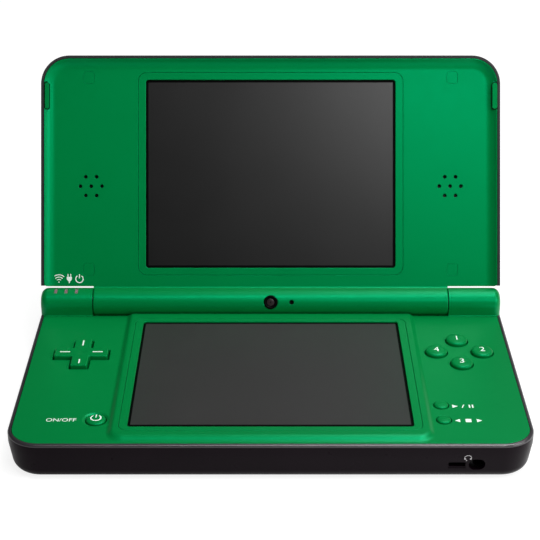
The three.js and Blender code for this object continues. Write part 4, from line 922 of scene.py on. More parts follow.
class CONSOLE_OT_stage(ConsoleOperator, Operator):
    """Set up the floor, the lamps, the surroundings, the camera and the finishes."""

    bl_idname = "console.stage"
    bl_label = "Stage"

    def execute(self, context):
        scene = context.scene
        studio = scene.console_studio
        make_finishes(scene.console_colours)
        self.add_floor((*scene.console_colours.floor, 1.0))
        self.add_surroundings(scene, studio.surround)
        self.add_lamp("key lamp", (0.137, -0.371, 0.423), 0.12, 0.12, studio.key_power)
        self.add_lamp("side lamp", (0.5, -0.25, 0.36), 0.3, 0.3, studio.side_power)
        self.add_lamp("top lamp", (0.12, -0.13, 0.78), 0.6, 0.15, studio.top_power)
        self.add_lamp("rear lamp", (0.27, 0.25, 0.8), 0.5, 0.3, studio.rear_power)
        self.add_camera(scene, studio)
        scene.view_settings.view_transform = "Standard"
        return {"FINISHED"}

    def add_floor(self, shade):
        """An even white floor to the camera, in mirrors dim at the left, and a plain one to the light."""
        shape = bmesh.new()
        bmesh.ops.create_grid(shape, x_segments=1, y_segments=1, size=30000)
        floor = solid("floor", shape)
        floor.data.transform(Matrix.Scale(MM, 4))
        material = bpy.data.materials.new("studio floor")
        material.use_nodes = True
        tree = material.node_tree
        tree.nodes.clear()
        rays = add_node(tree, "ShaderNodeLightPath").outputs
        across = ramp(tree, "Object", "X", limits(-0.08, 0.1, 0.35, 1.0))
        seen = reckon(tree, "MULTIPLY", rays["Is Camera Ray"], 0.85)
        mirrored = reckon(tree, "MULTIPLY", rays["Is Glossy Ray"], across)
        opaque = reckon(tree, "MAXIMUM", seen, mirrored)
        strength = reckon(tree, "MAXIMUM", opaque, rays["Is Transmission Ray"])
        glow = add_node(tree, "ShaderNodeEmission", {"Color": WHITE, "Strength": strength})
        soft = add_node(tree, "ShaderNodeBsdfDiffuse", {"Color": (0.3, 0.3, 0.3, 1.0)})
        both = add_node(tree, "ShaderNodeAddShader", {0: soft.outputs[0], 1: glow.outputs[0]})
        plain_floor = add_node(tree, "ShaderNodeBsdfDiffuse", {"Color": shade})
        show_apart(tree, rays, plain_floor, both, "ShaderNodeOutputMaterial")
        floor.data.materials.append(material)

    def add_surroundings(self, scene, room_strength):
        """A background, white to the camera; what mirrors show is dim at the left and overhead."""
        world = bpy.data.worlds.new("studio")
        scene.world = world
        world.use_nodes = True
        tree = world.node_tree
        tree.nodes.clear()
        rays = add_node(tree, "ShaderNodeLightPath").outputs
        fade = ramp(tree, "Generated", "Z", limits(0.0, 0.3, 1.0, 0.05), interpolation_type="SMOOTHSTEP")
        across = ramp(tree, "Generated", "X", limits(-0.25, 0.25, 0.2, 1.0))
        strength = reckon(tree, "MAXIMUM", reckon(tree, "MULTIPLY", fade, across), rays["Is Camera Ray"])
        seen = add_node(tree, "ShaderNodeBackground", {"Color": WHITE, "Strength": strength})
        room = add_node(tree, "ShaderNodeBackground", {"Color": WHITE, "Strength": room_strength})
        show_apart(tree, rays, room, seen, "ShaderNodeOutputWorld")

    def add_lamp(self, name, spot, width, depth, power):
        """An area lamp that looks at the console's middle."""
        lamp = bpy.data.lights.new(name, "AREA")
        lamp.shape = "RECTANGLE"
        lamp.size = width
        lamp.size_y = depth
        lamp.energy = power
        holder = bpy.data.objects.new(name, lamp)
        holder.location = spot
        aim = Vector((0, 0, 0.03)) - Vector(spot)
        holder.rotation_euler = aim.to_track_quat("-Z", "Y").to_euler()
        bpy.context.scene.collection.objects.link(holder)

    def add_camera(self, scene, studio):
        """The picture's camera, as solved from the console's straight edges."""
        camera = bpy.data.cameras.new("camera")
        camera.lens = studio.lens
        camera.sensor_width = 36
        camera.clip_start = 0.01
        camera.clip_end = 100
        holder = bpy.data.objects.new("camera", camera)
        holder.location = (-0.000212, -0.4105, 0.2554)
        holder.rotation_euler = (studio.tilt, 0, 0)
        scene.collection.objects.link(holder)
        scene.camera = holder


def reckon(tree, operation, first, second):
    return add_node(tree, "ShaderNodeMath", {0: first, 1: second}, operation=operation).outputs[0]


def ramp(tree, space, axis, span, **values):
    """A value that changes along one axis of a texture space."""
    place = add_node(tree, "ShaderNodeTexCoord").outputs[space]
    along = add_node(tree, "ShaderNodeSeparateXYZ", {0: place}).outputs[axis]
    return add_node(tree, "ShaderNodeMapRange", {"Value": along, **span}, **values).outputs["Result"]


def show_apart(tree, rays, lit, seen, output):
    """Ends a tree in one shader for light, and one for rays from the camera, a mirror or through glass."""
    direct = reckon(tree, "MAXIMUM", rays["Is Camera Ray"], rays["Is Glossy Ray"])
    factor = reckon(tree, "MAXIMUM", direct, rays["Is Transmission Ray"])
    mix = add_node(tree, "ShaderNodeMixShader", {0: factor, 1: lit.outputs[0], 2: seen.outputs[0]})
    add_node(tree, output, {"Surface": mix.outputs[0]})


class CONSOLE_OT_lower_casing(ConsoleOperator, Operator):
    """Build the dark lower casing with its sockets, slots and recesses."""

    bl_idname = "console.lower_casing"
    bl_label = "Lower casing"

    def execute(self, context):
        size = self.sizes
        low, high = place("base_bottom_case")
        wall, seam = mm(size.wall), mm(size.seam)
        ceiling = high.z - DECK_PLATE - seam
        piece = solid("lower_casing", base_shape(size))
        carve(
            piece,
            base_shape(size, wall, ceiling, steps=8),
            base_slab(size, mm(size.land), ceiling - 0.5, high.z + OVERSHOOT),
        )
        self.add_supports(piece, low.z, wall)
        self.cut_top(piece, size, high, seam)
        self.cut_walls(piece, low, high, wall)
        self.cut_underside(piece, low.z, seam)
        self.add_sign(piece, size, low, high)
        # Painted highlight: the rim's upward faces get the lighter, glossier brim finish.
        brim_foot = high.z - mm(size.rim_drop)
        for face in piece.data.polygons:
            if face.center.z > brim_foot and face.normal.z > 0.05 and face.material_index == 0:
                face.material_index = HIGHLIGHT_BRIM_INDEX
        dress(piece, ["dark", "dim sign", "brim"], "base", ["base_bottom_case"])
        return {"FINISHED"}

    def add_supports(self, piece, floor, wall):
        """The battery cover's surround, the stylus cradle and the shoulder buttons' bosses."""
        pen_low, pen_high = place("stylus")
        pen_z = middle("stylus").z
        seat = floor + 0.6
        weld(
            piece,
            slab(*around(*place("battery_cover"), 2), floor + 1.4, floor + 2.6, 5),
            slab(pen_low.x - 1.4, pen_high.x - wall, pen_low.y - 1.2, pen_high.y + 1.2, seat, pen_z),
        )
        for side in SIDES:
            boss = rod(PIN_BOSS, seat, floor + 3.6, steps=32)
            weld(piece, moved(boss, *button_place(f"{side}_shoulder_pin")))

    def cut_top(self, piece, size, high, seam):
        """Room for the hinge trough, at the rear."""
        half = trough_half() + 1 + seam
        under = place("base_top_case")[0].z
        sides = (-half, half, AXIS.y - trough_radius(size), high.y + OVERSHOOT)
        carve(piece, slab(*sides, under - seam, high.z + OVERSHOOT))

    def cut_walls(self, piece, low, high, wall):
        """Headset socket, stylus shaft, card slot, charge port, volume, card door and shoulder openings."""
        left, right, front, back = around(low, high)
        through = wall + 1
        jack_low, jack_high = place("headset_jack")
        jack_x, jack_z = jack_high.x - 4.25, (jack_low.z + jack_high.z) / 2 + 0.06
        tab_x = jack_x - 6.05
        pen, plug = middle("stylus"), middle("charge_port")
        slot_low, slot_high = place("game_card_slot")
        slot_z = (slot_low.z + slot_high.z) / 2
        cutters = [
            moved(port(4.9, 3.9, 1.9, through, 0.2, steps=12), jack_x, front + 0.55, jack_z, TO_FRONT),
            moved(port(5.1, 1.75, 0.35, through, 0.1), tab_x, front + 0.55, jack_z + 0.05, TO_FRONT),
            moved(port(5.4, 0.7, 0.2, 0.35, 0.1), tab_x, front + 0.6, jack_z - 1.0, TO_FRONT),
            moved(round_port(2.75, 97, 0.3), right - 0.6, pen.y, pen.z, TO_RIGHT),
            moved(port(33.6, 3.8, 0.5, wall + 4.1, 0.3), 0, back - 0.9, slot_z, TO_BACK),
            moved(port(7.6, 2.0, 0.45, wall + 1.2, 0.2), plug.x, back - 0.45, plug.z, TO_BACK),
        ]
        for node in VOLUME_BUTTONS:
            spot = middle(node)
            cutters.append(moved(port(3.3, 8.9, 0.9, through, 0.15), left + 0.3, spot.y, spot.z, TO_LEFT))
        door_low, door_high = place("memory_card_door")
        gap = 0.12
        door_sides = (right - through, right + OVERSHOOT, door_low.y - gap, door_high.y + gap)
        cutters.append(slab(*door_sides, door_low.z - gap, door_high.z + gap))
        gap = 0.35
        for side in SIDES:
            key_low, key_high = place(f"{side}_shoulder_button")
            if side == "left":
                across = (left - OVERSHOOT, key_high.x + gap)
            else:
                across = (key_low.x - gap, right + OVERSHOOT)
            along = (key_low.y - 1.65, back + OVERSHOOT)
            cutters.append(slab(*across, *along, key_low.z - gap, key_high.z + gap))
            bore = rod(PIN_BORE, low.z + 1.5, low.z + 5, steps=24)
            cutters.append(moved(bore, *button_place(f"{side}_shoulder_pin")))
        carve(piece, *cutters)

    def cut_underside(self, piece, floor, seam):
        """Recesses for the battery cover, the battery, the feet and the cover's screws."""
        cutters = [
            box_port(*place("battery_cover"), seam, 3.1, 1.32, 0.15, floor, TO_UNDER),
            slab(*around(*place("battery"), 0.3), floor - 1, floor + 3.6, 3),
        ]
        for name in FEET:
            x, y = button_place(f"rubber_foot_{name}")
            cutters.append(moved(round_port(3.3, 0.52, 0.12), x, y, floor, TO_UNDER))
        for side in SIDES:
            bore = rod(SCREW_BORE, floor - 1, floor + 2.9, steps=24)
            cutters.append(moved(bore, *button_place(f"battery_cover_screw_{side}")))
        carve(piece, *cutters)

    def add_sign(self, piece, size, low, high):
        """The headset sign on the leaning front wall."""
        lean = Matrix.Rotation(math.atan(size.wall_lean), 4, "X")
        z = 9.0  # above the table
        y = low.y + max(0.0, high.z - mm(size.seam_drop) - z) * size.wall_lean
        flat_print(piece, headset_sign(2.35), 59.45, y, z, lean @ TO_FRONT)


class CONSOLE_OT_upper_casing(ConsoleOperator, Operator):
    """Build the green deck with the screen platform, the trough, the knuckles and the control holes."""

    bl_idname = "console.upper_casing"
    bl_label = "Upper casing"

    def execute(self, context):
        size = self.sizes
        deck = deck_height()
        under = deck - DECK_PLATE
        edge = mm(size.edge)
        top_plate = base_slab(size, mm(size.land) + mm(size.seam), under, deck - edge)
        piece = solid("upper_casing", climb(top_plate, rounding(edge)))
        weld(piece, self.platform(size, deck, under))
        half = trough_half()
        trough_low = place("base_top_case")[0].z
        self.add_trough(piece, size, half, deck, under, trough_low)
        self.cut_trough(piece, size, half, deck, trough_low)
        self.cut_screen(piece, size, under)
        self.cut_controls(piece, size, deck)
        self.add_signs(piece, deck)
        dress(piece, ["green", "sign"], "base", ["base_top_case"])
        return {"FINISHED"}

    def platform(self, size, deck, under):
        """The raised field round the screen, with a slope that is wider at the front."""
        sunk, bend, count = 0.01, 0.75, 12
        half, front = mm(size.platform_half), at_reach(mm(size.platform_reach))
        top = place("lower_screen_frame")[1].z
        corner = mm(size.platform_corner)
        shape = slab(-half, half, front, AXIS.y, under, deck - sunk, corner, 0.0, steps=14)
        side, ahead = mm(size.slope_side), mm(size.slope_front)
        before = (0.0, 0.0)
        for i in range(1, count + 1):
            share = i / count
            rise = (top - deck + sunk) * (share - math.sin(math.tau * share) / math.tau * bend)
            climb(shape, strides([before, (side * share, rise)]))
            forward = [v for v in end_face(shape).verts if v.co.y < 0]
            bmesh.ops.translate(shape, vec=(0, (ahead - side) / count, 0), verts=forward)
            before = (side * share, rise)
        for vertex in shape.verts:
            if vertex.co.y > AXIS.y - 5:
                vertex.co.y = AXIS.y
        return tidy(shape)

    def add_trough(self, piece, size, half, deck, under, trough_low):
        """The trough's wall, floor and ends, the knuckles and the ledges behind them."""
        radius, barrel = trough_radius(size), mm(size.barrel)
        low, high = place("base_bottom_case")
        back = high.y - 0.12
        wall = solid("wall", axle(radius + 1, half + 1))
        keep(wall, slab(-half - 2, half + 2, low.y, AXIS.y, trough_low, deck - 0.02))
        ledges = []
        for side in (-1, 1):
            ledge = sorted((side * half, side * (high.x - 1.2)))
            ledges.append(slab(*ledge, AXIS.y - barrel - 0.4, back, under, deck + 0.12, 0.5))
        weld(
            piece,
            take_shape(wall),
            slab(-half - 1, half + 1, AXIS.y - 1, back, trough_low, trough_low + 1),
            slab(-half - 1, -half, AXIS.y - radius, back, trough_low, deck - 0.03),
            slab(half, half + 1, AXIS.y - radius, back, trough_low, deck - 0.03),
            *(self.knuckle(size, side, half, deck) for side in (-1, 1)),
            *ledges,
        )

    def knuckle(self, size, side, inner, deck):
        """Arched block beside the barrel, with a small fillet at its foot and a rounded outer end."""
        radius = mm(size.barrel)
        outer = place("base_bottom_case")[1].x - 0.05
        fillet, sunk = 0.5, 0.5
        foot = AXIS.y - radius - fillet
        outline = [(foot, deck - sunk), (foot, deck + 0.001)]
        outline += [(foot + y, deck + fillet + z) for y, z in arc(0, 0, fillet, -90, 0, 4)[1:]]
        outline += [(AXIS.y + y, AXIS.z + z) for y, z in arc(0, 0, radius, 180, 0, 40)]
        outline += [(AXIS.y + radius, deck - sunk)]
        shape = prism([(side * inner, y, z) for y, z in outline], (side * (outer - inner), 0, 0))
        end = []
        for edge in shape.edges:
            outermost = all(abs(abs(v.co.x) - outer) < 1e-4 for v in edge.verts)
            if outermost and max(v.co.z for v in edge.verts) > deck - 0.4:
                end.append(edge)
        bmesh.ops.bevel(
            shape,
            geom=end,
            offset=mm(size.knuckle_end),
            offset_type="OFFSET",
            segments=8,
            profile=0.5,
            affect="EDGES",
            material=-1,
            clamp_overlap=False,
        )
        return tidy(shape)

    def cut_trough(self, piece, size, half, deck, trough_low):
        """The barrel's room, the bores for the hinge and the light guide, and its three windows."""
        radius = trough_radius(size)
        back = place("base_bottom_case")[1].y
        hinge_end = place("hinge_cartridge", LID)[1]
        carve(
            piece,
            axle(radius, half),
            slab(-half, half, AXIS.y, back + OVERSHOOT, trough_low + 1, AXIS.z + radius),
            axle(hinge_end.z + 0.3, hinge_end.x + 0.3, steps=48),
            slab(-78.5, -66.8, AXIS.y - 3.3, AXIS.y + 3.3, deck - 3, AXIS.z + 3.3),
        )
        carve(piece, *lamp_blocks(0.56, 1.25, AXIS.z, AXIS.z + 7, 0.15))

    def cut_screen(self, piece, size, under):
        low, high = place("lower_screen_frame")
        seam = mm(size.seam)
        margin = mm(size.glass_margin) - 0.75
        carve(
            piece,
            box_port(low, high, seam, mm(size.frame_corner) + seam, 1.6, 0.08, high.z, steps=10),
            slab(*around(*place("touch_panel"), -margin), under - 1, high.z, 1),
        )

    def cut_controls(self, piece, size, deck):
        """The direction pad's well, the round buttons' holes and the power button's dish."""
        gap, lip = mm(size.button_gap), 0.12
        span, arm = mm(size.pad_span) + 2 * mm(size.pad_gap), mm(size.pad_arm) + 2 * mm(size.pad_gap)
        well = plus_slab(span, arm, deck - 3, deck - lip, 0.5)
        climb(well, [*flaring(lip), (0.0, OVERSHOOT)])
        cutters = [moved(well, *button_place("dpad"))]
        radii = {f"action_button_{where}": size.action_radius for where in ACTIONS}
        radii |= dict.fromkeys(MENU_BUTTONS, size.menu_radius)
        for node, radius in radii.items():
            cutters.append(moved(round_port(mm(radius) + gap, 3, lip), *button_place(node), deck))
        hole = mm(size.power_radius) + gap
        dish = ((0, -3), (0, -0.45), (0.1, -0.36), (0.35, -0.2), (0.62, -0.06), (0.85, -0.01), (1, 0))
        profile = [(0, -3), *((hole + out, z) for out, z in dish), (hole + 1, OVERSHOOT), (0, OVERSHOOT)]
        cutters.append(moved(lathe(profile, 72), *button_place("power_button"), deck))
        carve(piece, *cutters)

    def add_signs(self, piece, deck):
        signs = (
            (lettering("ON/OFF", 1.85, wide=0.98), -64.65, 72.15),
            (play_pause_sign(6.6, 1.8), 60.2, 64.25),
            (chooser_sign(8.4, 1.8), 61.0, 72.5),
        )
        for sign, x, reach in signs:
            flat_print(piece, sign, x, at_reach(reach), deck)


def screen_frame(size, name, node, glass, body, up, turn=HOME):
    """A frame over the edge of its glass, whose face looks up, or down where the lid lies shut."""
    low, high = place(node, turn)
    glass_low, glass_high = place(glass, turn)
    lip = mm(size.frame_lip)
    piece = solid(name, plate(around(low, high), low.z, high.z, mm(size.frame_corner), 0.1, up))
    face, way = (high.z, HOME) if up else (low.z, TO_UNDER)
    room = (low.z - 1, high.z - lip) if up else (low.z + lip, high.z + 1)
    carve(
        piece,
        box_port(glass_low, glass_high, -mm(size.glass_margin), 1.0, 3, 0.15, face, way),
        slab(*around(glass_low, glass_high, 0.3), *room, 1),
    )
    dress(piece, ["green"], body, [node], turn)
    return low, high


def screen_panel(name, display, node, body, up, view, turn=HOME):
    """A glass with a printed border round the display; view is the display's left, right, front and back."""
    low, high = place(node, turn)
    left, right, front, back = view
    edge, corner = 0.1, 1.0
    inset = left - low.x
    shape = plate(around(low, high), low.z, high.z, corner, edge, up, steps=6, turns=2)
    left_over = corner - edge
    climb(shape, [(inset - edge, 0.0)], up=up, corners=[(1, left_over), (-1, left_over)])
    face = end_face(shape, up)
    face.material_index = 1
    for point in face.verts:
        point.co.x = left if point.co.x < 0 else right
        point.co.y = front if point.co.y < (front + back) / 2 else back
    dress(solid(name, shape), ["border", display], body, [node], turn)


class CONSOLE_OT_lower_screen(ConsoleOperator, Operator):
    """Build the lower screen's frame and its touch panel, with the display in the panel's face."""

    bl_idname = "console.lower_screen"
    bl_label = "Lower screen"

    def execute(self, context):
        low, high = screen_frame(self.sizes, "lower_frame", "lower_screen_frame", "touch_panel", "base", True)
        view = (low.x + 3.38, high.x - 3.38, low.y + 4.15, high.y - 2.55)
        screen_panel("touch_film", "display", "touch_panel", "base", True, view)
        return {"FINISHED"}


class CONSOLE_OT_direction_pad(ConsoleOperator, Operator):
    """Build the direction pad, a plus with rounded edges, a shallow hollow and four ticks."""

    bl_idname = "console.direction_pad"
    bl_label = "Direction pad"

    def execute(self, context):
        size = self.sizes
        low, high = place("dpad")
        x, y = button_place("dpad")
        edge = 0.35
        plus = plus_slab(mm(size.pad_span), mm(size.pad_arm), low.z + 0.4, high.z - edge, 0.45)
        piece = solid("direction_pad", moved(climb(plus, rounding(edge, steps=4)), x, y))
        weld(piece, moved(rod((high.x - low.x) / 2, low.z, low.z + 0.8, 0.15, steps=64), x, y))
        depth, reach, rim = 0.12, 2.3, 2.4
        hollow = [(0, -depth)]
        for share in (0.15, 0.3, 0.45, 0.6, 0.75, 0.9):
            hollow.append((reach * share, -depth * (1 + math.cos(math.pi * share)) / 2))
        hollow += [(rim, 0.0), (rim, OVERSHOOT), (0, OVERSHOOT)]
        carve(piece, moved(lathe(hollow, 48), x, y, high.z))
        ticks = ((0, 5.9, 0.45, 3.4), (0, -6.2, 0.45, 2.6), (-5.45, 0, 3.4, 0.5), (5.45, 0, 3.4, 0.5))
        for dx, dy, wide, deep in ticks:
            mark = bar_part(-wide / 2, wide / 2, -deep / 2, deep / 2, 0.1)
            flat_print(piece, mark, x + dx, y + dy, high.z)
        dress(piece, ["keys", "sign"], "dpad", ["dpad"])
        return {"FINISHED"}


def push_key(name, node, radius, edge, crown, steps=72):
    """A push button: flange under the deck, straight side, rounded edge and a crowned top."""
    low, high = place(node)
    flange, thick, count = (high.x - low.x) / 2, 0.8, 8
    profile = [(0, low.z), (flange, low.z), (flange, low.z + thick), (radius, low.z + thick)]
    profile += arc(radius - edge, high.z - crown - edge * 0.9, edge, 0, 62, 5)
    rim_radius, rim = profile[-1]
    for i in range(1, count):
        angle = math.pi / 2 * (i / count)
        profile.append((rim_radius * math.cos(angle), rim + (high.z - rim) * math.sin(angle)))
    return solid(name, moved(lathe([*profile, (0, high.z)], steps), *button_place(node)))


class CONSOLE_OT_action_buttons(ConsoleOperator, Operator):
    """Build the four domed action buttons, numbered 1 to 4."""

    bl_idname = "console.action_buttons"
    bl_label = "Action buttons"

    def execute(self, context):
        radius = mm(self.sizes.action_radius)
        for number, where in enumerate(ACTIONS, 1):
            node = f"action_button_{where}"
            piece = push_key(f"action_key_{number}", node, radius, 0.55, 0.42)
            x, y = button_place(node)
            raised_print(piece, lettering(str(number), 2.7), x, y + 0.1)
            dress(piece, ["keys", "sign"], node, [node])
        return {"FINISHED"}


class CONSOLE_OT_menu_buttons(ConsoleOperator, Operator):
    """Build the two small menu buttons."""

    bl_idname = "console.menu_buttons"
    bl_label = "Menu buttons"

    def execute(self, context):
        radius = mm(self.sizes.menu_radius)
        for node in MENU_BUTTONS:
            piece = push_key(node.replace("button", "key"), node, radius, 0.3, 0.32, steps=64)
            dress(piece, ["keys"], node, [node])
        return {"FINISHED"}


class CONSOLE_OT_power_button(ConsoleOperator, Operator):
    """Build the power button with its ring and bar sign."""

    bl_idname = "console.power_button"
    bl_label = "Power button"

    def execute(self, context):
        piece = push_key("power_key", "power_button", mm(self.sizes.power_radius), 0.35, 0.3)
        x, y = button_place("power_button")
        raised_print(piece, power_sign(3.5), x, y + 0.35)
        dress(piece, ["keys", "sign"], "power_button", ["power_button"])
        return {"FINISHED"}


class CONSOLE_OT_lamp_windows(ConsoleOperator, Operator):
    """Build the clear light guide whose three ends show in the left knuckle."""

    bl_idname = "console.lamp_windows"
    bl_label = "Lamp windows"

    def execute(self, context):
        low, high = place("led_light_guide")
        mid = (low.x + high.x) / 2
        ceiling = AXIS.z + 2.9
        foot = ceiling - 0.7
        piece = solid("light_guide", slab(*around(low, high), ceiling - 1.4, ceiling, 0.2, steps=2))
        fingers = lamp_blocks(0.5, 1.18, foot, AXIS.z + 6, 0.1)
        weld(piece, *fingers, slab(mid - 0.8, mid + 0.8, low.y, high.y, low.z, foot))
        end = 81  # outside the base
        limit = solid("limit", axle(mm(self.sizes.barrel) - 0.05, end))
        weld(limit, slab(-end, 0, AXIS.y - 5, AXIS.y + 5, 0, AXIS.z))
        keep(piece, take_shape(limit))
        dress(piece, ["lamp"], "base", ["led_light_guide"])
        return {"FINISHED"}


class CONSOLE_OT_volume_buttons(ConsoleOperator, Operator):
    """Build the two volume buttons in the left wall."""

    bl_idname = "console.volume_buttons"
    bl_label = "Volume buttons"

    def execute(self, context):
        for node in VOLUME_BUTTONS:
            low, high = place(node)
            spot = (low + high) / 2
            stem = plate((-1.4, 1.4, -4.2, 4.2), -3.0, 0.0, 0.8, 0.4, steps=5, turns=4)
            piece = solid(node.replace("button", "key"), moved(stem, low.x, spot.y, spot.z, TO_LEFT))
            weld(piece, slab(high.x - 0.7, high.x, low.y, high.y, low.z, high.z))
            dress(piece, ["dark"], node, [node])
        return {"FINISHED"}


class CONSOLE_OT_shoulder_buttons(ConsoleOperator, Operator):
    """Build the two shoulder buttons that wrap round the rear corners."""

    bl_idname = "console.shoulder_buttons"
    bl_label = "Shoulder buttons"

    def execute(self, context):
        size = self.sizes
        beyond = 90  # outside the base
        for side in SIDES:
            node = f"{side}_shoulder_button"
            low, high = place(node)
            across = (-beyond, high.x) if side == "left" else (low.x, beyond)
            piece = solid(f"{side}_shoulder_key", base_shape(size))
            keep(piece, slab(*across, low.y, 60, low.z, high.z))
            carve(piece, base_shape(size, depth=1.9, top=CAVITY_TOP, steps=8))
            x, y = button_place(f"{side}_shoulder_pin")
            lug = solid("lug", moved(rod(PIN_BOSS, low.z, high.z, 0.2, steps=40), x, y))
            weld(piece, take_shape(keep(lug, base_shape(size))))
            soften(piece, 0.18)
            carve(piece, moved(rod(PIN_BORE, 0, 13, steps=24), x, y))
            dress(piece, ["dark"], node, [node])
        return {"FINISHED"}


class CONSOLE_OT_card_door(ConsoleOperator, Operator):
    """Build the memory card door in the right wall."""

    bl_idname = "console.card_door"
    bl_label = "Memory card door"

    def execute(self, context):
        size = self.sizes
        low, high = place("memory_card_door")
        piece = solid("card_door", base_shape(size))
        keep(piece, slab(high.x - 4, high.x + 4, low.y, high.y, low.z, high.z))
        carve(piece, base_shape(size, depth=1.2, top=CAVITY_TOP, steps=8))
        grip = slab(-0.45, 0.45, -4.5, 4.5, -0.6, -0.1, 0.4, steps=4)
        climb(grip, [*flaring(0.1), (0.0, OVERSHOOT)])
        carve(piece, moved(grip, high.x - 0.42, (low.y + high.y) / 2, high.z - 0.9, TO_RIGHT))
        soften(piece, 0.12)
        dress(piece, ["dark"], "memory_card_door", ["memory_card_door"])
        return {"FINISHED"}


class CONSOLE_OT_stylus(ConsoleOperator, Operator):
    """Build the large stylus that slides out of the right wall."""

    bl_idname = "console.stylus"
    bl_label = "Stylus"

    def execute(self, context):
        low, high = place("stylus")
        spot = (low + high) / 2
        radius, reach = (high.y - low.y) / 2, high.x - low.x
        groove = radius - 0.12
        edge, tip = 0.5, 0.8
        profile = [(0, 0), *arc(radius - edge, edge, edge, -90, 0, 4), (radius, 3.2), (groove, 3.3)]
        profile += [(groove, 3.6), (radius, 3.7), (radius, reach - 9), (radius * 0.93, reach - 7.5)]
        profile += [(1.15, reach - 2.6), (0.95, reach - 1.6)]
        profile += [*arc(0.0, reach - tip, tip, 10, 90, 4)[:-1], (0, reach)]
        piece = solid("stylus_pen", moved(lathe(profile, 48), high.x, spot.y, spot.z, TO_LEFT))
        carve(piece, moved(port(0.9, 3.0, 0.3, 0.35, 0.1), high.x - 1.7, spot.y, low.z, TO_UNDER))
        dress(piece, ["black"], "stylus", ["stylus"])
        return {"FINISHED"}


class CONSOLE_OT_underside(ConsoleOperator, Operator):
    """Build the battery cover, its two screws and the four rubber feet."""

    bl_idname = "console.underside"
    bl_label = "Underside"

    def execute(self, context):
        low, high = place("battery_cover")
        piece = solid("battery_lid", plate(around(low, high), low.z, high.z, 3, 0.2, up=False, steps=8))
        cutters = []
        for side in SIDES:
            x, y = button_place(f"battery_cover_screw_{side}")
            cutters.append(moved(round_port(1.8, 0.8, 0.15), x, y, low.z, TO_UNDER))
            cutters.append(moved(rod(SCREW_BORE, 0, 3, steps=24), x, y))
        carve(piece, *cutters)
        dress(piece, ["dark"], "base", ["battery_cover"])
        for side in SIDES:
            self.add_screw(side)
        for name in FEET:
            node = f"rubber_foot_{name}"
            low, high = place(node)
            foot = moved(rod((high.x - low.x) / 2, low.z, high.z, 0.22, steps=48), *button_place(node))
            dress(solid(f"foot_{name}", foot), ["rubber"], "base", [node])
        return {"FINISHED"}

    def add_screw(self, side):
        """A screw with a round head and a cross slot."""
        node = f"battery_cover_screw_{side}"
        low, high = place(node)
        x, y = button_place(node)
        head, shaft, thick, edge = 1.7, 0.75, 0.7, 0.25
        profile = [(0, low.z), *arc(head - edge, low.z + edge, edge, -90, 0, 3), (head, low.z + thick)]
        profile += [(shaft, low.z + thick), (shaft, high.z), (0, high.z)]
        screw = solid(f"cover_screw_{side}", moved(lathe(profile, 40), x, y))
        for turn in (20, 110):
            slot = port(2.1, 0.5, 0.15, 0.45, 0.08, over=1)
            carve(screw, moved(slot, x, y, low.z, TO_UNDER @ Matrix.Rotation(math.radians(turn), 4, "Z")))
        dress(screw, ["metal"], "base", [node])


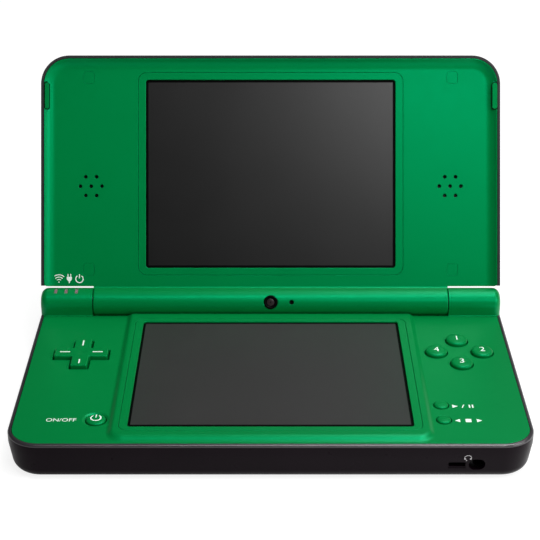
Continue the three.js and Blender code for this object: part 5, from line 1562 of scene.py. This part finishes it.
class CONSOLE_OT_lid_inner(ConsoleOperator, Operator):
    """Build the lid's dished inner casing with the hinge barrel, the speaker holes and the lamp signs."""

    bl_idname = "console.lid_inner"
    bl_label = "Lid inner casing"

    def execute(self, context):
        size = self.sizes
        outer_low, outer_high = place("lid_outer_case", LID)
        inset = mm(size.lid_edge) + 0.12
        rim = outer_low.z
        floor = place("screw_cover_far_left", LID)[0].z
        side, far, near = outer_high.x - inset, outer_low.y + inset, outer_high.y + 0.67
        corner = mm(size.lid_corner) - inset
        edge = 0.2
        shell = slab(-side, side, far, near, rim + edge, 0.0, corner, 1.2, steps=14)
        piece = solid("lid_inner", climb(shell, rounding(edge), up=False))
        carve(piece, self.dish(size, side, far, rim, floor, corner))
        half = trough_half() - 0.2
        low, high = place("upper_screen_frame", LID)
        weld(
            piece,
            slab(*around(low, high, 1.4), -0.5, high.z + 0.3 + 0.7, 4.1),
            moved(rod(mm(size.barrel), -half, half, mm(size.barrel_end), steps=128), turn=TO_RIGHT),
            self.neck(mm(size.barrel), half + 0.12, floor),
        )
        self.cut_openings(piece, size, floor, rim)
        self.add_signs(piece, floor)
        dress(piece, ["green", "sign"], "lid", ["lid_inner_case"], LID)
        return {"FINISHED"}

    def dish(self, size, side, far, rim, floor, corner):
        """Cutter for the hollow inner face: a rounded brim, then a slope that levels out."""
        brim, count = 0.15, 12
        sides = (-side + brim, side - brim, far + brim, 8.0)
        shape = slab(*sides, rim - OVERSHOOT, rim - 0.001, corner - brim, 0.0, steps=14)
        width, depth = mm(size.dish_width), floor - rim
        points = [(0.0, 0.0), (0.12, 0.05), (0.3, 0.2)]
        for i in range(1, count + 1):
            share = i / count
            points.append((0.3 + (width - 0.3) * share, 0.2 + (depth - 0.2) * (1 - (1 - share) ** 2.3)))
        return climb(shape, strides(points))

    def neck(self, barrel, half, floor):
        """Joins the barrel to the plate, with a small fillet on the inner side."""
        fillet = 0.8
        y, z = -math.sqrt((barrel + fillet) ** 2 - (floor - fillet) ** 2), floor - fillet
        curve = arc(y, z, fillet, 90, math.degrees(math.atan2(-z, -y)), 5)
        outline = [(-6.4, 4.8), (-6.4, floor + 0.004), *curve, (-3, -1.0), (0, 0), (0, 4.8)]
        return prism([(-half, *point) for point in outline], (half * 2, 0, 0))

    def cut_openings(self, piece, size, floor, rim):
        """Openings for the hinge, the screen, the camera, the microphone, the sound and the fittings."""
        low, high = place("upper_screen_frame", LID)
        seam = mm(size.seam)
        margin = mm(size.glass_margin) - 0.75
        corner = mm(size.frame_corner) + seam
        cutters = [
            moved(rod(3.4, -70, 70, steps=48), turn=TO_RIGHT),
            box_port(low, high, seam, corner, high.z - low.z + 0.3, 0.08, floor, TO_UNDER, steps=10),
            slab(*around(*place("upper_screen_window", LID), -margin), floor, 6, 1),
            moved(round_port(INNER_EYE + EYE_GAP, 4, 0.25), 0, 0, -4.9, TO_UNDER),
            moved(round_port(0.82, 4, 0.1, steps=32), 7.3, 0, -4.95, TO_UNDER),
        ]
        hole, pitch = mm(size.speaker_hole), mm(size.speaker_pitch)
        sixths = [math.tau * i / 6 for i in range(6)]
        for side in SIDES:
            x, y = middle(f"{side}_speaker", LID).xy
            for dx, dy in [(0, 0), *((pitch * math.cos(a), pitch * math.sin(a)) for a in sixths)]:
                cutters.append(moved(round_port(hole, 3, 0.1, steps=24), x + dx, y + dy, floor, TO_UNDER))
        for name in COVERS:
            cover = place(f"screw_cover_{name}", LID)
            cutters.append(box_port(*cover, seam / 2, 0.95, 0.9, 0.05, floor, TO_UNDER))
        for side in SIDES:
            bump_low, bump_high = place(f"lid_bumper_{side}", LID)
            cutters.append(box_port(bump_low, bump_high, 0.25, 0.95, bump_high.z - rim, 0.05, rim, TO_UNDER))
        carve(piece, *cutters)

    def add_signs(self, piece, floor):
        """The three lamps' signs, mirrored since they are read from below while the lid is drawn shut."""
        signs = (
            (waves_sign(3.25), -74.35, -8.15),
            (plug_sign(3.4), -70.7, -8.3),
            (power_sign(2.95), -67.15, -8.1),
        )
        for sign, x, y in signs:
            bmesh.ops.scale(sign, vec=(1, -1, 1), verts=sign.verts)
            bmesh.ops.reverse_faces(sign, faces=sign.faces)
            flat_print(piece, sign, x, y, floor)


class CONSOLE_OT_lid_outer(ConsoleOperator, Operator):
    """Build the lid's dark outer casing and the glossy panel set into it."""

    bl_idname = "console.lid_outer"
    bl_label = "Lid outer casing"

    def execute(self, context):
        size = self.sizes
        low, high = place("lid_outer_case", LID)
        panel_low, panel_high = place("lid_cover_panel", LID)
        corner, fillet = mm(size.lid_corner), mm(size.lid_fillet)
        well, seam, panel_corner = mm(size.lid_edge), mm(size.seam), mm(size.panel_corner)
        edge, wall = 0.3, 1.3
        pocket_floor = panel_low.z - 0.3
        shape = slab(low.x, high.x, low.y, 12.0, low.z + edge, high.z - fillet, corner, 0.0, steps=14)
        climb(shape, rounding(fillet, steps=8))
        piece = solid("lid_outer", climb(shape, rounding(edge), up=False))
        near = high.y + 0.47
        keep(piece, slab(low.x - 1, high.x + 1, low.y - 1, near, low.z - 1, high.z + 1, 0.0, 0.8, steps=4))
        down = high.z - pocket_floor
        carve(
            piece,
            slab(low.x + well, high.x - well, low.y + well, 14, low.z - 1, 0.3, corner - well, 0.0, steps=14),
            slab(*around(low, high, -wall), 0.0, pocket_floor - 1.1, corner - wall, 0.3),
            box_port(panel_low, panel_high, seam, panel_corner + seam, down, 0.12, high.z, steps=12),
            self.camera_hole(panel_high.z, 0.0),
        )
        dress(piece, ["lid edge"], "lid", ["lid_outer_case"], LID)
        sides = around(panel_low, panel_high)
        shape = plate(sides, panel_low.z, panel_high.z, panel_corner, edge, steps=12, turns=4)
        panel = solid("outer_panel", shape)
        carve(panel, self.camera_hole(panel_high.z, 0.2))
        dress(panel, ["panel"], "lid", ["lid_cover_panel"], LID)
        return {"FINISHED"}

    def camera_hole(self, top, flare):
        x, y = middle("outer_camera", LID).xy
        return moved(round_port(OUTER_EYE + EYE_GAP, 6, flare), x, y, top)


class CONSOLE_OT_upper_screen(ConsoleOperator, Operator):
    """Build the upper screen's frame and its window, with the display in the window's face."""

    bl_idname = "console.upper_screen"
    bl_label = "Upper screen"

    def execute(self, context):
        glass = "upper_screen_window"
        low, high = screen_frame(self.sizes, "upper_frame", "upper_screen_frame", glass, "lid", False, LID)
        view = (low.x + 3.47, high.x - 3.47, low.y + 3.37, high.y - 3.37)
        screen_panel("upper_window", "window", glass, "lid", False, view, LID)
        return {"FINISHED"}


class CONSOLE_OT_lid_fittings(ConsoleOperator, Operator):
    """Build the four screw covers and the two bumpers in the lid's inner face."""

    bl_idname = "console.lid_fittings"
    bl_label = "Screw covers and bumpers"

    def execute(self, context):
        for name in COVERS:
            node = f"screw_cover_{name}"
            low, high = place(node, LID)
            cover = plate(around(low, high), low.z, high.z, 0.9, 0.06, up=False, steps=6, turns=2)
            dress(solid(f"cover_{name}", cover), ["green"], "lid", [node], LID)
        rim = 0.2
        for side in SIDES:
            node = f"lid_bumper_{side}"
            low, high = place(node, LID)
            far = low.y + 0.4
            pad = plate((low.x, high.x, far, high.y), low.z, high.z, 0.7, 0.2, up=False, steps=6)
            # A black rim round the pad in the glass border's finish: a painted shadow where the gap round the
            # bumper lies in shade.
            shade_rim = slab(low.x - rim, high.x + rim, far - rim, high.y + rim, low.z + 0.3, high.z, 0.9, steps=6)
            piece = add_part(solid(f"bumper_{side}", pad), shade_rim, 1)
            dress(piece, ["bumper", "border"], "lid", [node], LID)
        return {"FINISHED"}


class CONSOLE_OT_cameras(ConsoleOperator, Operator):
    """Build the camera in the barrel and the one in the lid's outer face."""

    bl_idname = "console.cameras"
    bl_label = "Cameras"

    def execute(self, context):
        self.add_eye("inner_eye", "inner_camera", INNER_EYE, 1.36, False)
        self.add_eye("outer_eye", "outer_camera", OUTER_EYE, 1.65, True)
        return {"FINISHED"}

    def add_eye(self, name, node, radius, lens, up):
        """A housing with a funnel, and at its foot a wide bulging lens with a small one in its middle."""
        low, high = place(node, LID)
        x, y = middle(node, LID).xy
        foot, way, turn = (low.z, 1, HOME) if up else (high.z, -1, TO_UNDER)
        long = high.z - low.z
        edge, funnel = 0.2, 0.5
        well = long - funnel
        profile = [(0, 0), (radius, 0), *arc(radius - edge, long - edge, edge, 0, 90, 3)]
        profile += [(lens + 0.45, long), (lens + 0.3, long - 0.1), (lens + 0.05, long - funnel * 0.8)]
        profile += [(lens, well), (0, well)]
        piece = solid(name, moved(lathe(profile), x, y, foot, turn))
        for index, wide, tall in ((1, lens * 0.97, 0.18), (2, lens * 0.3, 0.24)):
            dome = [(wide * c, tall * s) for c, s in arc(0, 0, 1, 0, 90, 6)[:-1]]
            bulge = lathe([(0, -0.2), (wide, -0.2), *dome, (0, tall)], 40)
            add_part(piece, moved(bulge, x, y, foot + way * well, turn), index)
        dress(piece, ["border", "lens", "border"], "lid", [node], LID)


class CONSOLE_OT_inside(ConsoleOperator, Operator):
    """Finish the CAD nodes that stay as they are."""

    bl_idname = "console.inside"
    bl_label = "Inside pieces"

    def execute(self, context):
        paint("board", "main_board", "volume_switch_board")
        paint("metal", "charge_port", "memory_card_slot", "power_switch", "hinge_cartridge")
        paint("metal", "hinge_sleeve", "left_shoulder_pin", "right_shoulder_pin")
        paint("black", "game_card_slot", "headset_jack", "left_speaker", "right_speaker")
        paint("black", "lower_lcd", "upper_lcd", "microphone")
        paint("silicone", "dpad_rubber", "action_button_rubber", "menu_button_rubber")
        paint("cell", "battery")
        return {"FINISHED"}


operators = (
    CONSOLE_OT_stage,
    CONSOLE_OT_lower_casing,
    CONSOLE_OT_upper_casing,
    CONSOLE_OT_lower_screen,
    CONSOLE_OT_direction_pad,
    CONSOLE_OT_action_buttons,
    CONSOLE_OT_menu_buttons,
    CONSOLE_OT_power_button,
    CONSOLE_OT_lamp_windows,
    CONSOLE_OT_volume_buttons,
    CONSOLE_OT_shoulder_buttons,
    CONSOLE_OT_card_door,
    CONSOLE_OT_stylus,
    CONSOLE_OT_underside,
    CONSOLE_OT_lid_inner,
    CONSOLE_OT_lid_outer,
    CONSOLE_OT_upper_screen,
    CONSOLE_OT_lid_fittings,
    CONSOLE_OT_cameras,
    CONSOLE_OT_inside,
)

settings = {
    "console_sizes": ConsoleSizes,
    "console_colours": ConsoleColours,
    "console_studio": ConsoleStudio,
}


class CONSOLE_PT_panel(Panel):
    """Lists the console's settings and pieces."""

    bl_label = "Console"
    bl_idname = "CONSOLE_PT_panel"
    bl_space_type = "VIEW_3D"
    bl_region_type = "UI"
    bl_category = "Console"

    def draw(self, context):
        for group in settings:
            values = getattr(context.scene, group)
            box = self.layout.box()
            for name in values.__annotations__:
                box.prop(values, name)
        column = self.layout.column(align=True)
        for operator in operators:
            column.operator(operator.bl_idname)


def register():
    for group in settings.values():
        bpy.utils.register_class(group)
    for name, group in settings.items():
        setattr(bpy.types.Scene, name, PointerProperty(type=group))
    for operator in operators:
        bpy.utils.register_class(operator)
    bpy.utils.register_class(CONSOLE_PT_panel)


def unregister():
    bpy.utils.unregister_class(CONSOLE_PT_panel)
    for operator in reversed(operators):
        bpy.utils.unregister_class(operator)
    for name, group in settings.items():
        delattr(bpy.types.Scene, name)
        bpy.utils.unregister_class(group)


def main():
    register()
    for operator in operators:
        group, name = operator.bl_idname.split(".")
        getattr(getattr(bpy.ops, group), name)()


if __name__ == "__main__":
    main()
